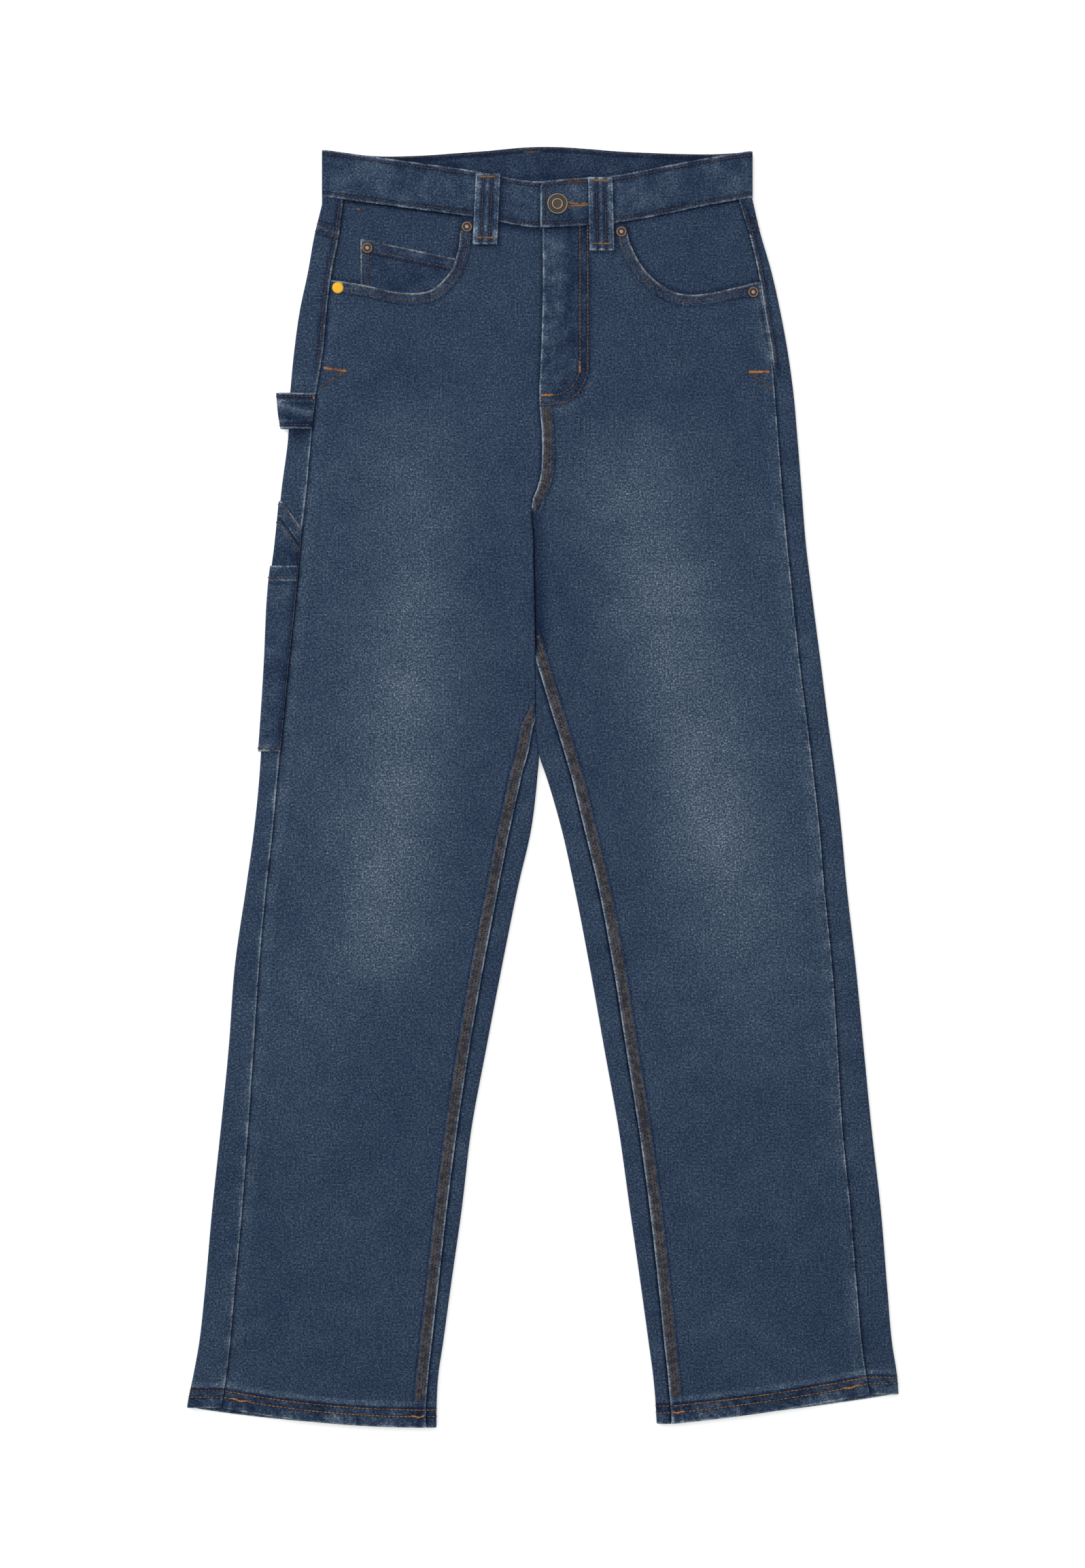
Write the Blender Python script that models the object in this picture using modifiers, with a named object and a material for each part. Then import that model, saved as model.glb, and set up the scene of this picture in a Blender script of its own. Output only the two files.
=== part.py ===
"""Carpenter pants laid flat with the front up: denim panels, waistband, pockets, loops, button and rivets.

Each leg is a flattened tube of cloth. A back panel lies underneath and wraps round both folds, up to the
side seam and the inseam on top; a front panel lies on top between those seams. Lengths in the tables are
in millimetres. X runs across the garment to the wearer's left, Y up to the waist, Z up from the floor.
"""
import math

import bpy
import numpy as np

GARMENT = "carpenter_pants"
MM = 0.001

# Cloth and hardware sizes, in millimetres
CLOTH = 1.0
BAND = 2.0
STRAP = 1.5
GAP = 0.3
LAYER = CLOTH + GAP
WAIST_ROOM = 0.6
BAND_WIDTH = 38.0
LOOP_WIDTH = 20.0
HEM_DEPTH = 16.0
HEM_RAISE = 0.6
CROWN = 0.8
YOKE_DIP = 47.0
RIVET_RADIUS = 4.6
BUTTON_RADIUS = 8.5
RIVET_SIDES = 12
BUTTON_SIDES = 24

# Heights of the layers at the waist, in millimetres over the floor
FRONT_BAND_TOP = 7.4
WAIST_TOP = 6.9

# Wearer's right leg, one row for each section:
# y, outer fold x, side seam x, inseam x, inner fold x
RIGHT_LEG = np.array([
    (474.0, -179.5, -162.5, -7.0, -1.7),
    (449.5, -185.5, -165.5, -7.0, -1.7),
    (419.0, -191.0, -171.5, -7.0, -1.7),
    (388.5, -197.5, -175.5, -7.0, -1.7),
    (352.5, -202.5, -179.0, -7.0, -1.7),
    (319.5, -205.5, -184.5, -7.0, -1.7),
    (286.0, -207.0, -188.0, -7.0, -1.7),
    (242.0, -212.5, -192.0, -10.5, -4.0),
    (198.0, -217.0, -197.0, -13.5, -7.0),
    (164.5, -221.0, -200.0, -13.0, -6.5),
    (98.0, -224.5, -207.0, -11.0, -5.3),
    (50.5, -227.5, -211.5, -11.5, -5.2),
    (9.5, -230.5, -215.5, -17.5, -4.0),
    (-35.5, -235.0, -219.5, -26.5, -9.4),
    (-79.0, -241.0, -224.5, -35.0, -19.4),
    (-145.0, -250.5, -230.5, -47.5, -32.8),
    (-211.5, -255.5, -235.0, -59.0, -45.5),
    (-278.0, -262.0, -239.5, -69.0, -57.8),
    (-344.0, -269.0, -244.5, -77.5, -65.8),
    (-410.5, -275.0, -250.5, -85.0, -75.2),
    (-455.0, -280.0, -254.5, -90.0, -81.3),
    (-477.0, -284.0, -257.0, -92.5, -84.6),
    (-505.0, -289.5, -261.5, -94.5, -86.2),
    (-521.0, -291.0, -263.5, -94.6, -86.3),
])

# Wearer's left leg, the same columns
LEFT_LEG = np.array([
    (480.0, 170.5, 158.5, 1.0, -1.4),
    (452.0, 177.0, 167.5, 1.0, -1.4),
    (419.0, 186.5, 175.5, 1.0, -1.4),
    (385.5, 194.0, 181.0, 1.0, -1.4),
    (352.5, 200.0, 186.5, 1.0, -1.4),
    (319.5, 204.5, 189.5, 1.0, -1.4),
    (286.0, 207.5, 192.0, 1.0, -1.4),
    (242.0, 211.0, 195.5, 1.0, -3.4),
    (198.0, 214.5, 199.5, -0.2, -6.4),
    (164.5, 218.5, 203.0, 0.2, -5.9),
    (98.0, 227.0, 210.0, 3.0, -4.7),
    (50.5, 233.0, 216.0, 11.0, -4.6),
    (9.5, 238.5, 221.0, 23.5, 2.8),
    (-35.5, 243.5, 226.0, 34.0, 15.8),
    (-79.0, 247.5, 229.5, 44.5, 25.4),
    (-145.0, 255.0, 236.0, 57.0, 38.2),
    (-211.5, 261.5, 240.5, 67.5, 50.0),
    (-278.0, 268.0, 244.5, 78.0, 61.9),
    (-344.0, 275.5, 251.0, 87.0, 71.2),
    (-410.5, 281.0, 256.5, 94.5, 80.7),
    (-455.0, 285.0, 260.5, 99.0, 86.8),
    (-477.0, 288.5, 263.5, 101.5, 89.8),
    (-494.0, 290.0, 266.5, 103.0, 91.5),
    (-518.0, 292.0, 268.5, 105.0, 92.9),
])

# Front pocket scoops, one row for each column of the front panel: x and y on the panel's top edge, and the
# place across the panel lower down, as a share of its width
RIGHT_SCOOP = np.array([
    (-172.0, 412.5, 0.00),
    (-155.0, 410.0, 0.07),
    (-137.0, 406.5, 0.15),
    (-118.0, 402.5, 0.24),
    (-100.0, 402.0, 0.33),
    (-88.0, 405.5, 0.40),
    (-79.5, 413.5, 0.45),
    (-72.5, 424.0, 0.50),
    (-68.0, 439.0, 0.55),
])
LEFT_SCOOP = np.array([
    (176.0, 411.0, 0.00),
    (162.0, 407.5, 0.07),
    (149.0, 404.5, 0.13),
    (134.0, 401.5, 0.21),
    (117.0, 400.5, 0.30),
    (103.0, 404.5, 0.38),
    (90.0, 413.5, 0.45),
    (78.0, 428.0, 0.52),
    (70.5, 443.5, 0.57),
])
# The rest of the panel's top edge, sewn to the waistband: x, and the share across the panel lower down
RIGHT_WAIST = np.array([(-65.5, 0.60), (-49.0, 0.69), (-32.5, 0.79), (-14.0, 0.90), (0.0, 1.00)])
LEFT_WAIST = np.array([
    (67.5, 0.62), (54.0, 0.70), (41.0, 0.784), (30.0, 0.842), (14.0, 0.926), (7.0, 0.963), (0.0, 1.00),
])

# Centre front from the waist down: y, x of the left panel's edge, how far the right panel runs under it
CENTRE_FRONT = np.array([
    (456.0, 0.0, 10.0),
    (397.0, 0.2, 10.0),
    (352.0, -1.2, 10.0),
    (338.0, -1.8, 9.0),
    (320.0, -2.6, 6.0),
    (310.0, -2.2, 5.0),
    (289.0, -0.6, 5.0),
    (270.5, -0.3, 4.0),
    (253.0, -1.6, -0.3),
    (243.5, -4.0, -0.3),
    (234.5, -8.0, -0.3),
])

# Front run of the waistband: x, y of its top edge, y of its lower edge
FRONT_BAND = np.array([
    (-176.5, 518.0, 480.0),
    (-115.0, 509.5, 471.5),
    (-55.0, 501.0, 463.5),
    (-2.0, 492.5, 454.8),
    (18.0, 494.0, 455.5),
    (57.0, 497.0, 458.5),
    (96.0, 504.3, 465.0),
    (129.0, 510.7, 472.0),
    (168.0, 517.0, 479.0),
])
# Back run of the waistband: x, y of its top edge
BACK_BAND = np.array([
    (-176.5, 518.0),
    (-141.0, 514.0),
    (-54.0, 517.0),
    (-5.5, 521.0),
    (77.0, 516.5),
    (147.0, 515.5),
    (168.0, 517.0),
])
BAND_START = 34.0
BAND_END = -1.6
BAND_STEP = (37.0, 55.0)
BAND_FOLD_RIGHT = -176.5
BAND_FOLD_LEFT = 168.0

# Front belt loops: name, x of the middle at the top, x at the bottom, y at the bottom
FRONT_LOOPS = (
    ("belt_loop_front_right", -44.2, -46.8, 441.0),
    ("belt_loop_front_left", 47.0, 48.3, 436.0),
)
# Back belt loops lie pressed under the waistband: name, x of the middle
BACK_LOOPS = (
    ("belt_loop_back_right", -112.0),
    ("belt_loop_back_centre", -5.0),
    ("belt_loop_back_left", 104.0),
)
BACK_LOOP_TAIL = 12.0

# Rivets: name, x, y, depth under the front panel's surface, colour
COPPER = (0.32, 0.2, 0.13)
YELLOW = (0.85, 0.6, 0.08)
BRASS = (0.33, 0.27, 0.2)
DENIM = (0.09, 0.15, 0.25)
RIVETS = (
    ("rivet_coin_pocket", -142.5, 438.5, LAYER, COPPER),
    ("rivet_scoop_right", -61.4, 455.5, 0.0, COPPER),
    ("rivet_scoop_left", 64.2, 451.5, 0.0, COPPER),
    ("rivet_side_left", 171.5, 402.5, 0.0, COPPER),
    ("rivet_yellow", -166.5, 406.0, 0.0, YELLOW),
)
BUTTON_X = 12.2
BUTTON_Y = 473.6

# Pocket facings reach under the scoop: y, x of the inner edge on the wearer's right
FACING_EDGE = np.array([(480.0, -52.0), (440.0, -56.0), (415.0, -66.0), (388.0, -88.0)])
FACING_BOTTOM = 388.0
COIN_LEFT = -148.0
COIN_RIGHT = -58.0
COIN_TOP = 446.0
COIN_SLOPE = -0.21
COIN_BOTTOM = 392.0

# Tool pockets on the wearer's right leg: heights of their edges, and how far they reach under the leg
POCKET_BOTTOM = 29.0
POCKET_REACH = 125.0
OUTER_POCKET_TOP = 180.0
MOUTH_AT_SEAM = 209.5
MOUTH_AT_FOLD = 232.5
MOUTH_AT_BACK = 256.0

# Hammer loop: the strap leaves the side seam, stands off the fold and returns under the leg
HAMMER_TOP = 320.5
HAMMER_BOTTOM = 291.5
HAMMER_REACH = -217.0
HAMMER_SLANT = 3.0
HAMMER_HEIGHT = 9.0
HAMMER_RETURN = 52.0

# Rows of the leg panels, as y at the outer fold
BACK_TOP_ROWS = (418.0, 388.0, 360.0)
FRONT_TOP_ROWS = (440.0, 415.0, 390.0, 365.0)
RIGHT_UPPER_ROWS = (338.0, 330.5, 322.5, 289.5, 279.5, 268.0, 258.0, 243.5, 234.5, 229.0, 222.5, 191.0, 182.0,
                    130.0, 76.0, 27.0, 13.5)
LEFT_UPPER_ROWS = (338.0, 310.0, 289.5, 258.0, 243.5, 234.5, 229.0, 222.5, 182.0, 130.0, 76.0, 27.0, 9.5)
LOWER_ROWS = (-35.5, -79.0, -130.0, -190.0, -250.0, -310.0, -370.0, -420.0, -455.0)
RIGHT_ROWS = RIGHT_UPPER_ROWS + LOWER_ROWS + (-487.3, -490.0, -505.0)
LEFT_ROWS = LEFT_UPPER_ROWS + LOWER_ROWS + (-476.3, -479.0, -494.0)
FULL_ROW = 338.0

# Columns of the back panels: steps round a fold, stops on the underside in from the outer fold, the part of
# the inner stretch that is its fold, and the inner stretch's flat length above the crotch
FOLD_STEPS = 4
UNDER_STOPS = (30.0, HAMMER_RETURN + 9.0, 95.0, POCKET_REACH + 2.0, POCKET_REACH + 17.0)
FOLD_PART = 0.75
FLAT_INNER = 12.0

RIGHT = {
    "name": "right",
    "side": -1,
    "table": RIGHT_LEG,
    "scoop": RIGHT_SCOOP,
    "waist": RIGHT_WAIST,
    "yoke_y": 450.0,
    "hem_y": -505.0,
    "hem_tilt": -16.0,
    "hem_bow": 4.0,
    "back_rows": (450.0,) + BACK_TOP_ROWS + RIGHT_ROWS,
    "front_rows": FRONT_TOP_ROWS + RIGHT_ROWS,
}
LEFT = {
    "name": "left",
    "side": 1,
    "table": LEFT_LEG,
    "scoop": LEFT_SCOOP,
    "waist": LEFT_WAIST,
    "yoke_y": 452.0,
    "hem_y": -494.0,
    "hem_tilt": -24.0,
    "hem_bow": 2.0,
    "back_rows": (452.0,) + BACK_TOP_ROWS + LEFT_ROWS,
    "front_rows": FRONT_TOP_ROWS + LEFT_ROWS,
}
CROTCH_FRONT_Y = 231.0
CROTCH_BACK_Y = 226.0


def soft_step(value, low, high):
    """Smooth rise from 0 at low to 1 at high."""
    share = np.clip((np.asarray(value, float) - low) / (high - low), 0.0, 1.0)
    return share * share * (3.0 - 2.0 * share)


def along(table, column, place):
    """Read one column of a table at a place given in its first column, on a smooth curve through the rows."""
    rows = table[np.argsort(table[:, 0])]
    stops = rows[:, 0]
    value = rows[:, column]
    slope = np.gradient(value, stops)
    place = np.clip(place, stops[0], stops[-1])
    i = np.clip(np.searchsorted(stops, place) - 1, 0, len(stops) - 2)
    span = stops[i + 1] - stops[i]
    t = (place - stops[i]) / span
    start = (1 + 2 * t) * (1 - t) ** 2 * value[i] + t * (1 - t) ** 2 * span * slope[i]
    end = t * t * (3 - 2 * t) * value[i + 1] + t * t * (t - 1) * span * slope[i + 1]
    return start + end


def top_height(y):
    """Height of the upper layer's surface at the folds, from thick at the waist to thin down the leg."""
    return 5.0 + (WAIST_TOP - 5.0) * soft_step(y, 300.0, 470.0)


def pocket_lift(inward, y):
    """How far the back of the wearer's right leg is raised by the tool pockets and the strap under it."""
    inside = 1.0 - soft_step(inward, POCKET_REACH + 2.0, POCKET_REACH + 17.0)
    over_bottom = soft_step(y, 14.0, 26.0)
    inner = over_bottom * (1.0 - soft_step(y, MOUTH_AT_BACK + 3.0, MOUTH_AT_BACK + 11.0))
    outer = over_bottom * (1.0 - soft_step(y, OUTER_POCKET_TOP + 2.5, OUTER_POCKET_TOP + 10.5))
    strap = soft_step(y, HAMMER_BOTTOM - 11.0, HAMMER_BOTTOM - 2.5)
    strap = strap * (1.0 - soft_step(y, HAMMER_TOP + 2.5, HAMMER_TOP + 9.5))
    near = 1.0 - soft_step(inward, HAMMER_RETURN + 10.0, 95.0)
    return inside * LAYER * (inner + outer) + near * strap * (STRAP + GAP)


def back_lift(leg, inward, y):
    """Height of the back's underside: over the belt loops at the waist, and over the tool pockets."""
    lift = LAYER * soft_step(y, 385.0, 455.0)
    if leg["name"] == "right":
        lift = lift + pocket_lift(inward, y)
    return lift


def hem_raise(leg, row_y):
    """The turned hem stands proud of the leg above it."""
    edge = leg["hem_y"] + HEM_DEPTH
    return HEM_RAISE * (1.0 - soft_step(row_y, edge - 0.8, edge + 1.5))


def hem_share(leg, row_y):
    """How far a row is tilted and bowed towards the line of the hem, from 0 to 1."""
    return 1.0 - soft_step(row_y, leg["hem_y"], -330.0)


def leg_point(leg, place, y, row_y, out):
    """A point on the back panel's outer surface, moved out by a length. The place is the stretch and the
    position on it: the strip on top, the outer fold, the underside, the inner fold with its strip on top.
    Above the crotch the inner stretch lies flat beside the centre back."""
    stretch, value = place
    table = leg["table"]
    outer = along(table, 1, y)
    width = abs(along(table, 4, y) - outer)
    high = top_height(y) + hem_raise(leg, row_y)
    low = float(back_lift(leg, 0.0, y))
    radius = (high - low) / 2
    wrapped = row_y < CROTCH_BACK_Y
    flat_end = width - (high / 2 if wrapped else FLAT_INNER)
    height = None
    if stretch == "strip":
        seam = abs(along(table, 2, y) - outer)
        inward = seam + (radius - seam) * value
        height = high + out
    elif stretch == "fold":
        inward = radius - (radius + out) * math.sin(value)
        height = low + radius + (radius + out) * math.cos(value)
    elif stretch == "under":
        inward = value
    elif stretch == "spare":
        inward = UNDER_STOPS[-1] + (flat_end - UNDER_STOPS[-1]) * value
    elif not wrapped:
        inward = flat_end + (FLAT_INNER - GAP / 2) * value
    elif value <= FOLD_PART:
        angle = math.pi * value / FOLD_PART
        inward = flat_end + (high / 2 + out) * math.sin(angle)
        height = high / 2 - (high / 2 + out) * math.cos(angle)
    else:
        inseam = width - abs(along(table, 3, y) - along(table, 4, y))
        inward = flat_end + (inseam - flat_end) * (value - FOLD_PART) / (1 - FOLD_PART)
        height = high + out
    if height is None:
        height = float(back_lift(leg, inward, y)) - out
    return outer - leg["side"] * inward, y, height


STRIP = [("strip", 0.0), ("strip", 0.5)]
FOLD = [("fold", math.pi * i / FOLD_STEPS) for i in range(FOLD_STEPS + 1)]
UNDER = [("under", stop) for stop in UNDER_STOPS]
SPARE = [("spare", 1 / 3), ("spare", 2 / 3)]
INNER = [("inner", FOLD_PART * i / FOLD_STEPS) for i in range(FOLD_STEPS + 1)]
INNER += [("inner", (1 + FOLD_PART) / 2), ("inner", 1.0)]
BACK_PLACES = STRIP + FOLD + UNDER + SPARE + INNER


def share_across(leg, place, row_y):
    """How far across the leg a place lies, from 0 at the outer fold to 1 at the inner fold."""
    x = leg_point(leg, place, row_y, row_y, 0.0)[0]
    outer = along(leg["table"], 1, row_y)
    inner = along(leg["table"], 4, row_y)
    share = float(np.clip((x - outer) / (inner - outer), 0.0, 1.0))
    if place[0] in ("strip", "fold"):
        return share * float(soft_step(row_y, 400.0, 440.0))
    if place[0] == "inner" and row_y < CROTCH_BACK_Y:
        return 1.0
    return share


def back_row(leg, row_y):
    """One row of a back panel: it dips towards the yoke's point at the centre and tilts with the hem."""
    dip = YOKE_DIP * float(soft_step(row_y, 300.0, leg["yoke_y"]))
    tilt = leg["hem_tilt"] * hem_share(leg, row_y)
    bow = leg["hem_bow"] * hem_share(leg, row_y)
    row = []
    for place in BACK_PLACES:
        share = share_across(leg, place, row_y)
        y = row_y + (tilt - dip) * share - bow * 4 * share * (1 - share)
        row.append(leg_point(leg, place, y, row_y, 0.0))
    return row


def back_waist(x):
    """Y of the lower edge of the waistband's back run."""
    return along(BACK_BAND, 1, x) - BAND_WIDTH


def yoke_row(leg, share_down):
    """One row of a back yoke, from the waistband down to the seam with the back panel."""
    row = []
    for place in BACK_PLACES:
        share = share_across(leg, place, leg["yoke_y"])
        seam_y = leg["yoke_y"] - YOKE_DIP * share + GAP
        guess_x = leg_point(leg, place, 479.0, 479.0, 0.0)[0]
        top_y = back_waist(guess_x) - WAIST_ROOM
        if place[0] in ("strip", "fold"):
            top_y = min(top_y, along(FRONT_BAND, 2, guess_x) - WAIST_ROOM)
        y = top_y + (seam_y - top_y) * share_down
        row.append(leg_point(leg, place, y, leg["yoke_y"], 0.0))
    return row


def centre_front(leg, y):
    """X of a front panel's inner edge above the crotch; the right panel runs on under the left."""
    edge = along(CENTRE_FRONT, 1, y)
    if leg["name"] == "right":
        edge = edge + along(CENTRE_FRONT, 2, y)
    return edge


def front_height(leg, x, y, row_y, share):
    """Height of a front panel's outer surface: crowned over the leg, and raised where the left laps over."""
    hip = soft_step(y, 240.0, 330.0)
    crown = CROWN * (hip * np.sin(math.pi / 2 * share) + (1 - hip) * np.sin(math.pi * share))
    height = top_height(y) + crown + hem_raise(leg, row_y)
    if leg["name"] == "left":
        fly = soft_step(y, 318.0, 345.0)
        from_edge = x - along(CENTRE_FRONT, 1, y)
        lap = 1.0 - soft_step(from_edge, 7.0 + 23.0 * fly, 14.0 + 27.0 * fly)
        height = height + LAYER * lap * soft_step(y, 236.0, 243.0)
    return height


def front_surface(leg, x, y):
    """Height of a front panel's outer surface at a point in the hips."""
    side = along(leg["table"], 2, y)
    inner = along(CENTRE_FRONT, 1, y)
    share = np.clip((x - side) / (inner - side), 0.0, 1.0)
    return front_height(leg, x, y, y, share)


def band_surface(x):
    """Height of the waistband's front run: its left end lies over its right end at the centre front."""
    lap = (1.0 - soft_step(x, *BAND_STEP)) * (x > BAND_END)
    return FRONT_BAND_TOP + (BAND + GAP) * lap


def front_panel(leg):
    """Rows of a front panel. Its top edge is the scoop and the waist seam; lower rows run seam to seam."""
    scoop = leg["scoop"]
    waist = leg["waist"]
    top_x = np.concatenate([scoop[:, 0], waist[:, 0]])
    top_y = np.concatenate([scoop[:, 1], along(FRONT_BAND, 2, waist[:, 0]) - WAIST_ROOM])
    share = np.concatenate([scoop[:, 2], waist[:, 1]])
    top_x[-1] = centre_front(leg, top_y[-1])
    first_row = leg["front_rows"][0]
    grid = []
    for row_y in leg["front_rows"]:
        level = min(row_y, FULL_ROW)
        blend = max(0.0, (row_y - FULL_ROW) / (first_row - FULL_ROW))
        tilt = leg["hem_tilt"] * hem_share(leg, level)
        bow = leg["hem_bow"] * hem_share(leg, level) * 4 * share * (1 - share)
        y = level + tilt * share - bow
        y = y + (top_y - y) * blend
        side = along(leg["table"], 2, y) - leg["side"] * GAP
        if level > CROTCH_FRONT_Y:
            inner = centre_front(leg, y)
        else:
            inner = along(leg["table"], 3, y) + leg["side"] * GAP
        x = side + (inner - side) * share
        x[1:-1] += (top_x - x)[1:-1] * blend
        if blend > 0.0:
            true_share = (x - side) / (inner - side)
        else:
            true_share = share
        z = front_height(leg, x, y, row_y, np.clip(true_share, 0.0, 1.0))
        grid.append(np.stack([x, y, z], axis=1))
    return grid


def pocket_patch(tops, out):
    """Rows of a tool pocket, made from the right back panel's own points, moved out. The tops give y at the
    pocket's upper edge, a value for each column. Its sewn edge stays just clear of the front panel."""
    places = STRIP + FOLD + UNDER[:3] + [("under", POCKET_REACH)]
    tops = np.broadcast_to(tops, len(places))
    shared = [y for y in RIGHT_ROWS if POCKET_BOTTOM < y < min(tops) - 8.0]
    rows = [tops + (shared[0] - tops) * share for share in (0.0, 0.33, 0.67)]
    rows += [np.full(len(places), y) for y in shared + [POCKET_BOTTOM]]
    grid = [[leg_point(RIGHT, place, y, 0.0, out) for place, y in zip(places, row)] for row in rows]
    grid = np.array(grid)
    grid[:, 0, 0] -= GAP
    return grid


def clear_scene():
    for old in list(bpy.data.objects):
        bpy.data.objects.remove(old, do_unlink=True)


def finish_object(name, mesh, colour, metallic=0.0, roughness=0.85):
    """Put a mesh into the garment's collection with a material of its own."""
    material = bpy.data.materials.new(name + "_material")
    material.use_nodes = True
    shader = material.node_tree.nodes["Principled BSDF"]
    shader.inputs["Base Color"].default_value = (*colour, 1.0)
    shader.inputs["Metallic"].default_value = metallic
    shader.inputs["Roughness"].default_value = roughness
    mesh.materials.append(material)
    thing = bpy.data.objects.new(name, mesh)
    bpy.data.collections[GARMENT].objects.link(thing)
    return thing


def cloth(name, grid, thickness, outer_side):
    """A piece of cloth: an open surface through rows of points, thickened away from its outer side. The
    outer side looks up or down at the first corner of the grid."""
    grid = np.asarray(grid, float) * MM
    down = grid[1, 0] - grid[0, 0]
    across = grid[0, 1] - grid[0, 0]
    if np.cross(down, across)[2] * outer_side < 0:
        grid = grid[:, ::-1]
    rows, columns = grid.shape[:2]
    corner = np.arange(rows * columns).reshape(rows, columns)
    faces = np.stack([corner[:-1, :-1], corner[1:, :-1], corner[1:, 1:], corner[:-1, 1:]], axis=-1)
    mesh = bpy.data.meshes.new(name)
    mesh.from_pydata(grid.reshape(-1, 3).tolist(), [], faces.reshape(-1, 4).tolist())
    piece = finish_object(name, mesh, DENIM)
    wall = piece.modifiers.new("wall", "SOLIDIFY")
    wall.thickness = thickness * MM
    wall.offset = -1.0
    wall.use_even_offset = True
    return piece


def waistband_grid():
    """Stations of the waistband: from its right end at the centre front round the back to its left end."""
    radius = (FRONT_BAND_TOP - LAYER) / 2
    middle = LAYER + radius
    stations = []
    for x in np.linspace(BAND_START, BAND_FOLD_RIGHT, 12):
        stations.append((x, along(FRONT_BAND, 1, x), along(FRONT_BAND, 2, x), FRONT_BAND_TOP))
    for angle in np.linspace(0.0, math.pi, FOLD_STEPS + 1)[1:-1]:
        x = BAND_FOLD_RIGHT - radius * math.sin(angle)
        stations.append((x, BACK_BAND[0, 1], BACK_BAND[0, 1] - BAND_WIDTH, middle + radius * math.cos(angle)))
    for x in np.linspace(BAND_FOLD_RIGHT, BAND_FOLD_LEFT, 19):
        stations.append((x, along(BACK_BAND, 1, x), back_waist(x), LAYER))
    for angle in np.linspace(math.pi, 0.0, FOLD_STEPS + 1)[1:-1]:
        x = BAND_FOLD_LEFT + radius * math.sin(angle)
        edge = BACK_BAND[-1, 1]
        stations.append((x, edge, edge - BAND_WIDTH, middle + radius * math.cos(angle)))
    step = list(np.linspace(BAND_STEP[1], BAND_STEP[0], 3))
    lap = list(np.linspace(BAND_STEP[0], BAND_END, 5)[1:])
    for x in list(np.linspace(BAND_FOLD_LEFT, BAND_STEP[1] + 14.0, 6)) + step + lap:
        stations.append((x, along(FRONT_BAND, 1, x), along(FRONT_BAND, 2, x), float(band_surface(x + 0.01))))
    return [[(x, top + (low - top) * share, z) for share in (0.0, 0.5, 1.0)] for x, top, low, z in stations]


def facing_grid(leg, drop):
    """A pocket facing, from the side seam to under the scoop's edge, below the front panel."""
    grid = []
    for share_down in np.linspace(0.0, 1.0, 8):
        row = []
        for share in np.linspace(0.0, 1.0, 7):
            level = 478.0 + (FACING_BOTTOM - 478.0) * share_down
            side = along(leg["table"], 2, level) - leg["side"] * GAP
            inner = leg["side"] * -along(FACING_EDGE, 1, level)
            x = side + (inner - side) * share
            top = along(FRONT_BAND, 2, x) - WAIST_ROOM
            y = top + (FACING_BOTTOM - top) * share_down
            row.append((x, y, front_surface(leg, x, y) - drop))
        grid.append(row)
    return grid


def coin_pocket_grid():
    """The coin pocket on the right facing; its lower edge and one side run under the front panel."""
    grid = []
    for share_down in np.linspace(0.0, 1.0, 5):
        row = []
        for x in np.linspace(COIN_LEFT, COIN_RIGHT, 6):
            top = COIN_TOP + COIN_SLOPE * (x - COIN_LEFT)
            y = top + (COIN_BOTTOM - top) * share_down
            row.append((x, y, front_surface(RIGHT, x, y) - LAYER))
        grid.append(row)
    return grid


def front_loop_grid(leg, top_x, bottom_x, bottom_y):
    """A front belt loop lying over the waistband and the top of the panel."""
    band_top = along(FRONT_BAND, 1, top_x) - 0.5
    band_low = along(FRONT_BAND, 2, top_x)
    over_band = list(np.linspace(band_top, band_low - 2.0, 5))
    over_panel = list(np.linspace(band_low - 6.0, bottom_y, 3))
    grid = []
    for y in over_band + over_panel:
        middle = top_x + (bottom_x - top_x) * (band_top - y) / (band_top - bottom_y)
        row = []
        for offset in (-LOOP_WIDTH / 2, 0.0, LOOP_WIDTH / 2):
            x = middle + offset
            under = float(front_surface(leg, x, min(y, band_low)))
            if y > band_low - 3.0:
                under = max(under, float(band_surface(x)))
            row.append((x, y, under + GAP + STRAP))
        grid.append(row)
    return grid


def back_loop_grid(middle):
    """A back belt loop pressed flat on the floor under the waistband."""
    grid = []
    for share in np.linspace(0.0, 1.0, 3):
        row = []
        for offset in (-LOOP_WIDTH / 2, LOOP_WIDTH / 2):
            x = middle + offset
            top = along(BACK_BAND, 1, x) - 1.0
            low = back_waist(x) - BACK_LOOP_TAIL
            row.append((x, top + (low - top) * share, 0.0))
        grid.append(row)
    return grid


def hammer_loop_grid():
    """The hammer loop's strap, from the side seam out past the fold and back under the leg."""
    grid = []
    radius = HAMMER_HEIGHT / 2
    for y in (HAMMER_BOTTOM, (HAMMER_BOTTOM + HAMMER_TOP) / 2, HAMMER_TOP):
        reach = HAMMER_REACH + HAMMER_SLANT * (HAMMER_TOP - y) / (HAMMER_TOP - HAMMER_BOTTOM)
        seam = along(RIGHT_LEG, 2, y) - GAP
        seated = top_height(y) + GAP + STRAP
        fold = reach + radius
        path = [(seam, seated + 0.1), (seam - 7.0, seated + 0.3), (seam - 14.0, seated + 1.2)]
        path.append((fold + 3.0, HAMMER_HEIGHT - 0.3))
        for angle in np.linspace(0.0, math.pi, 6):
            path.append((fold - radius * math.sin(angle), radius + radius * math.cos(angle)))
        outer = along(RIGHT_LEG, 1, y)
        path += [(outer + 10.0, 0.0), (outer + 30.0, 0.0), (outer + HAMMER_RETURN, 0.0)]
        grid.append([(x, y, z) for x, z in path])
    return grid


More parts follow.
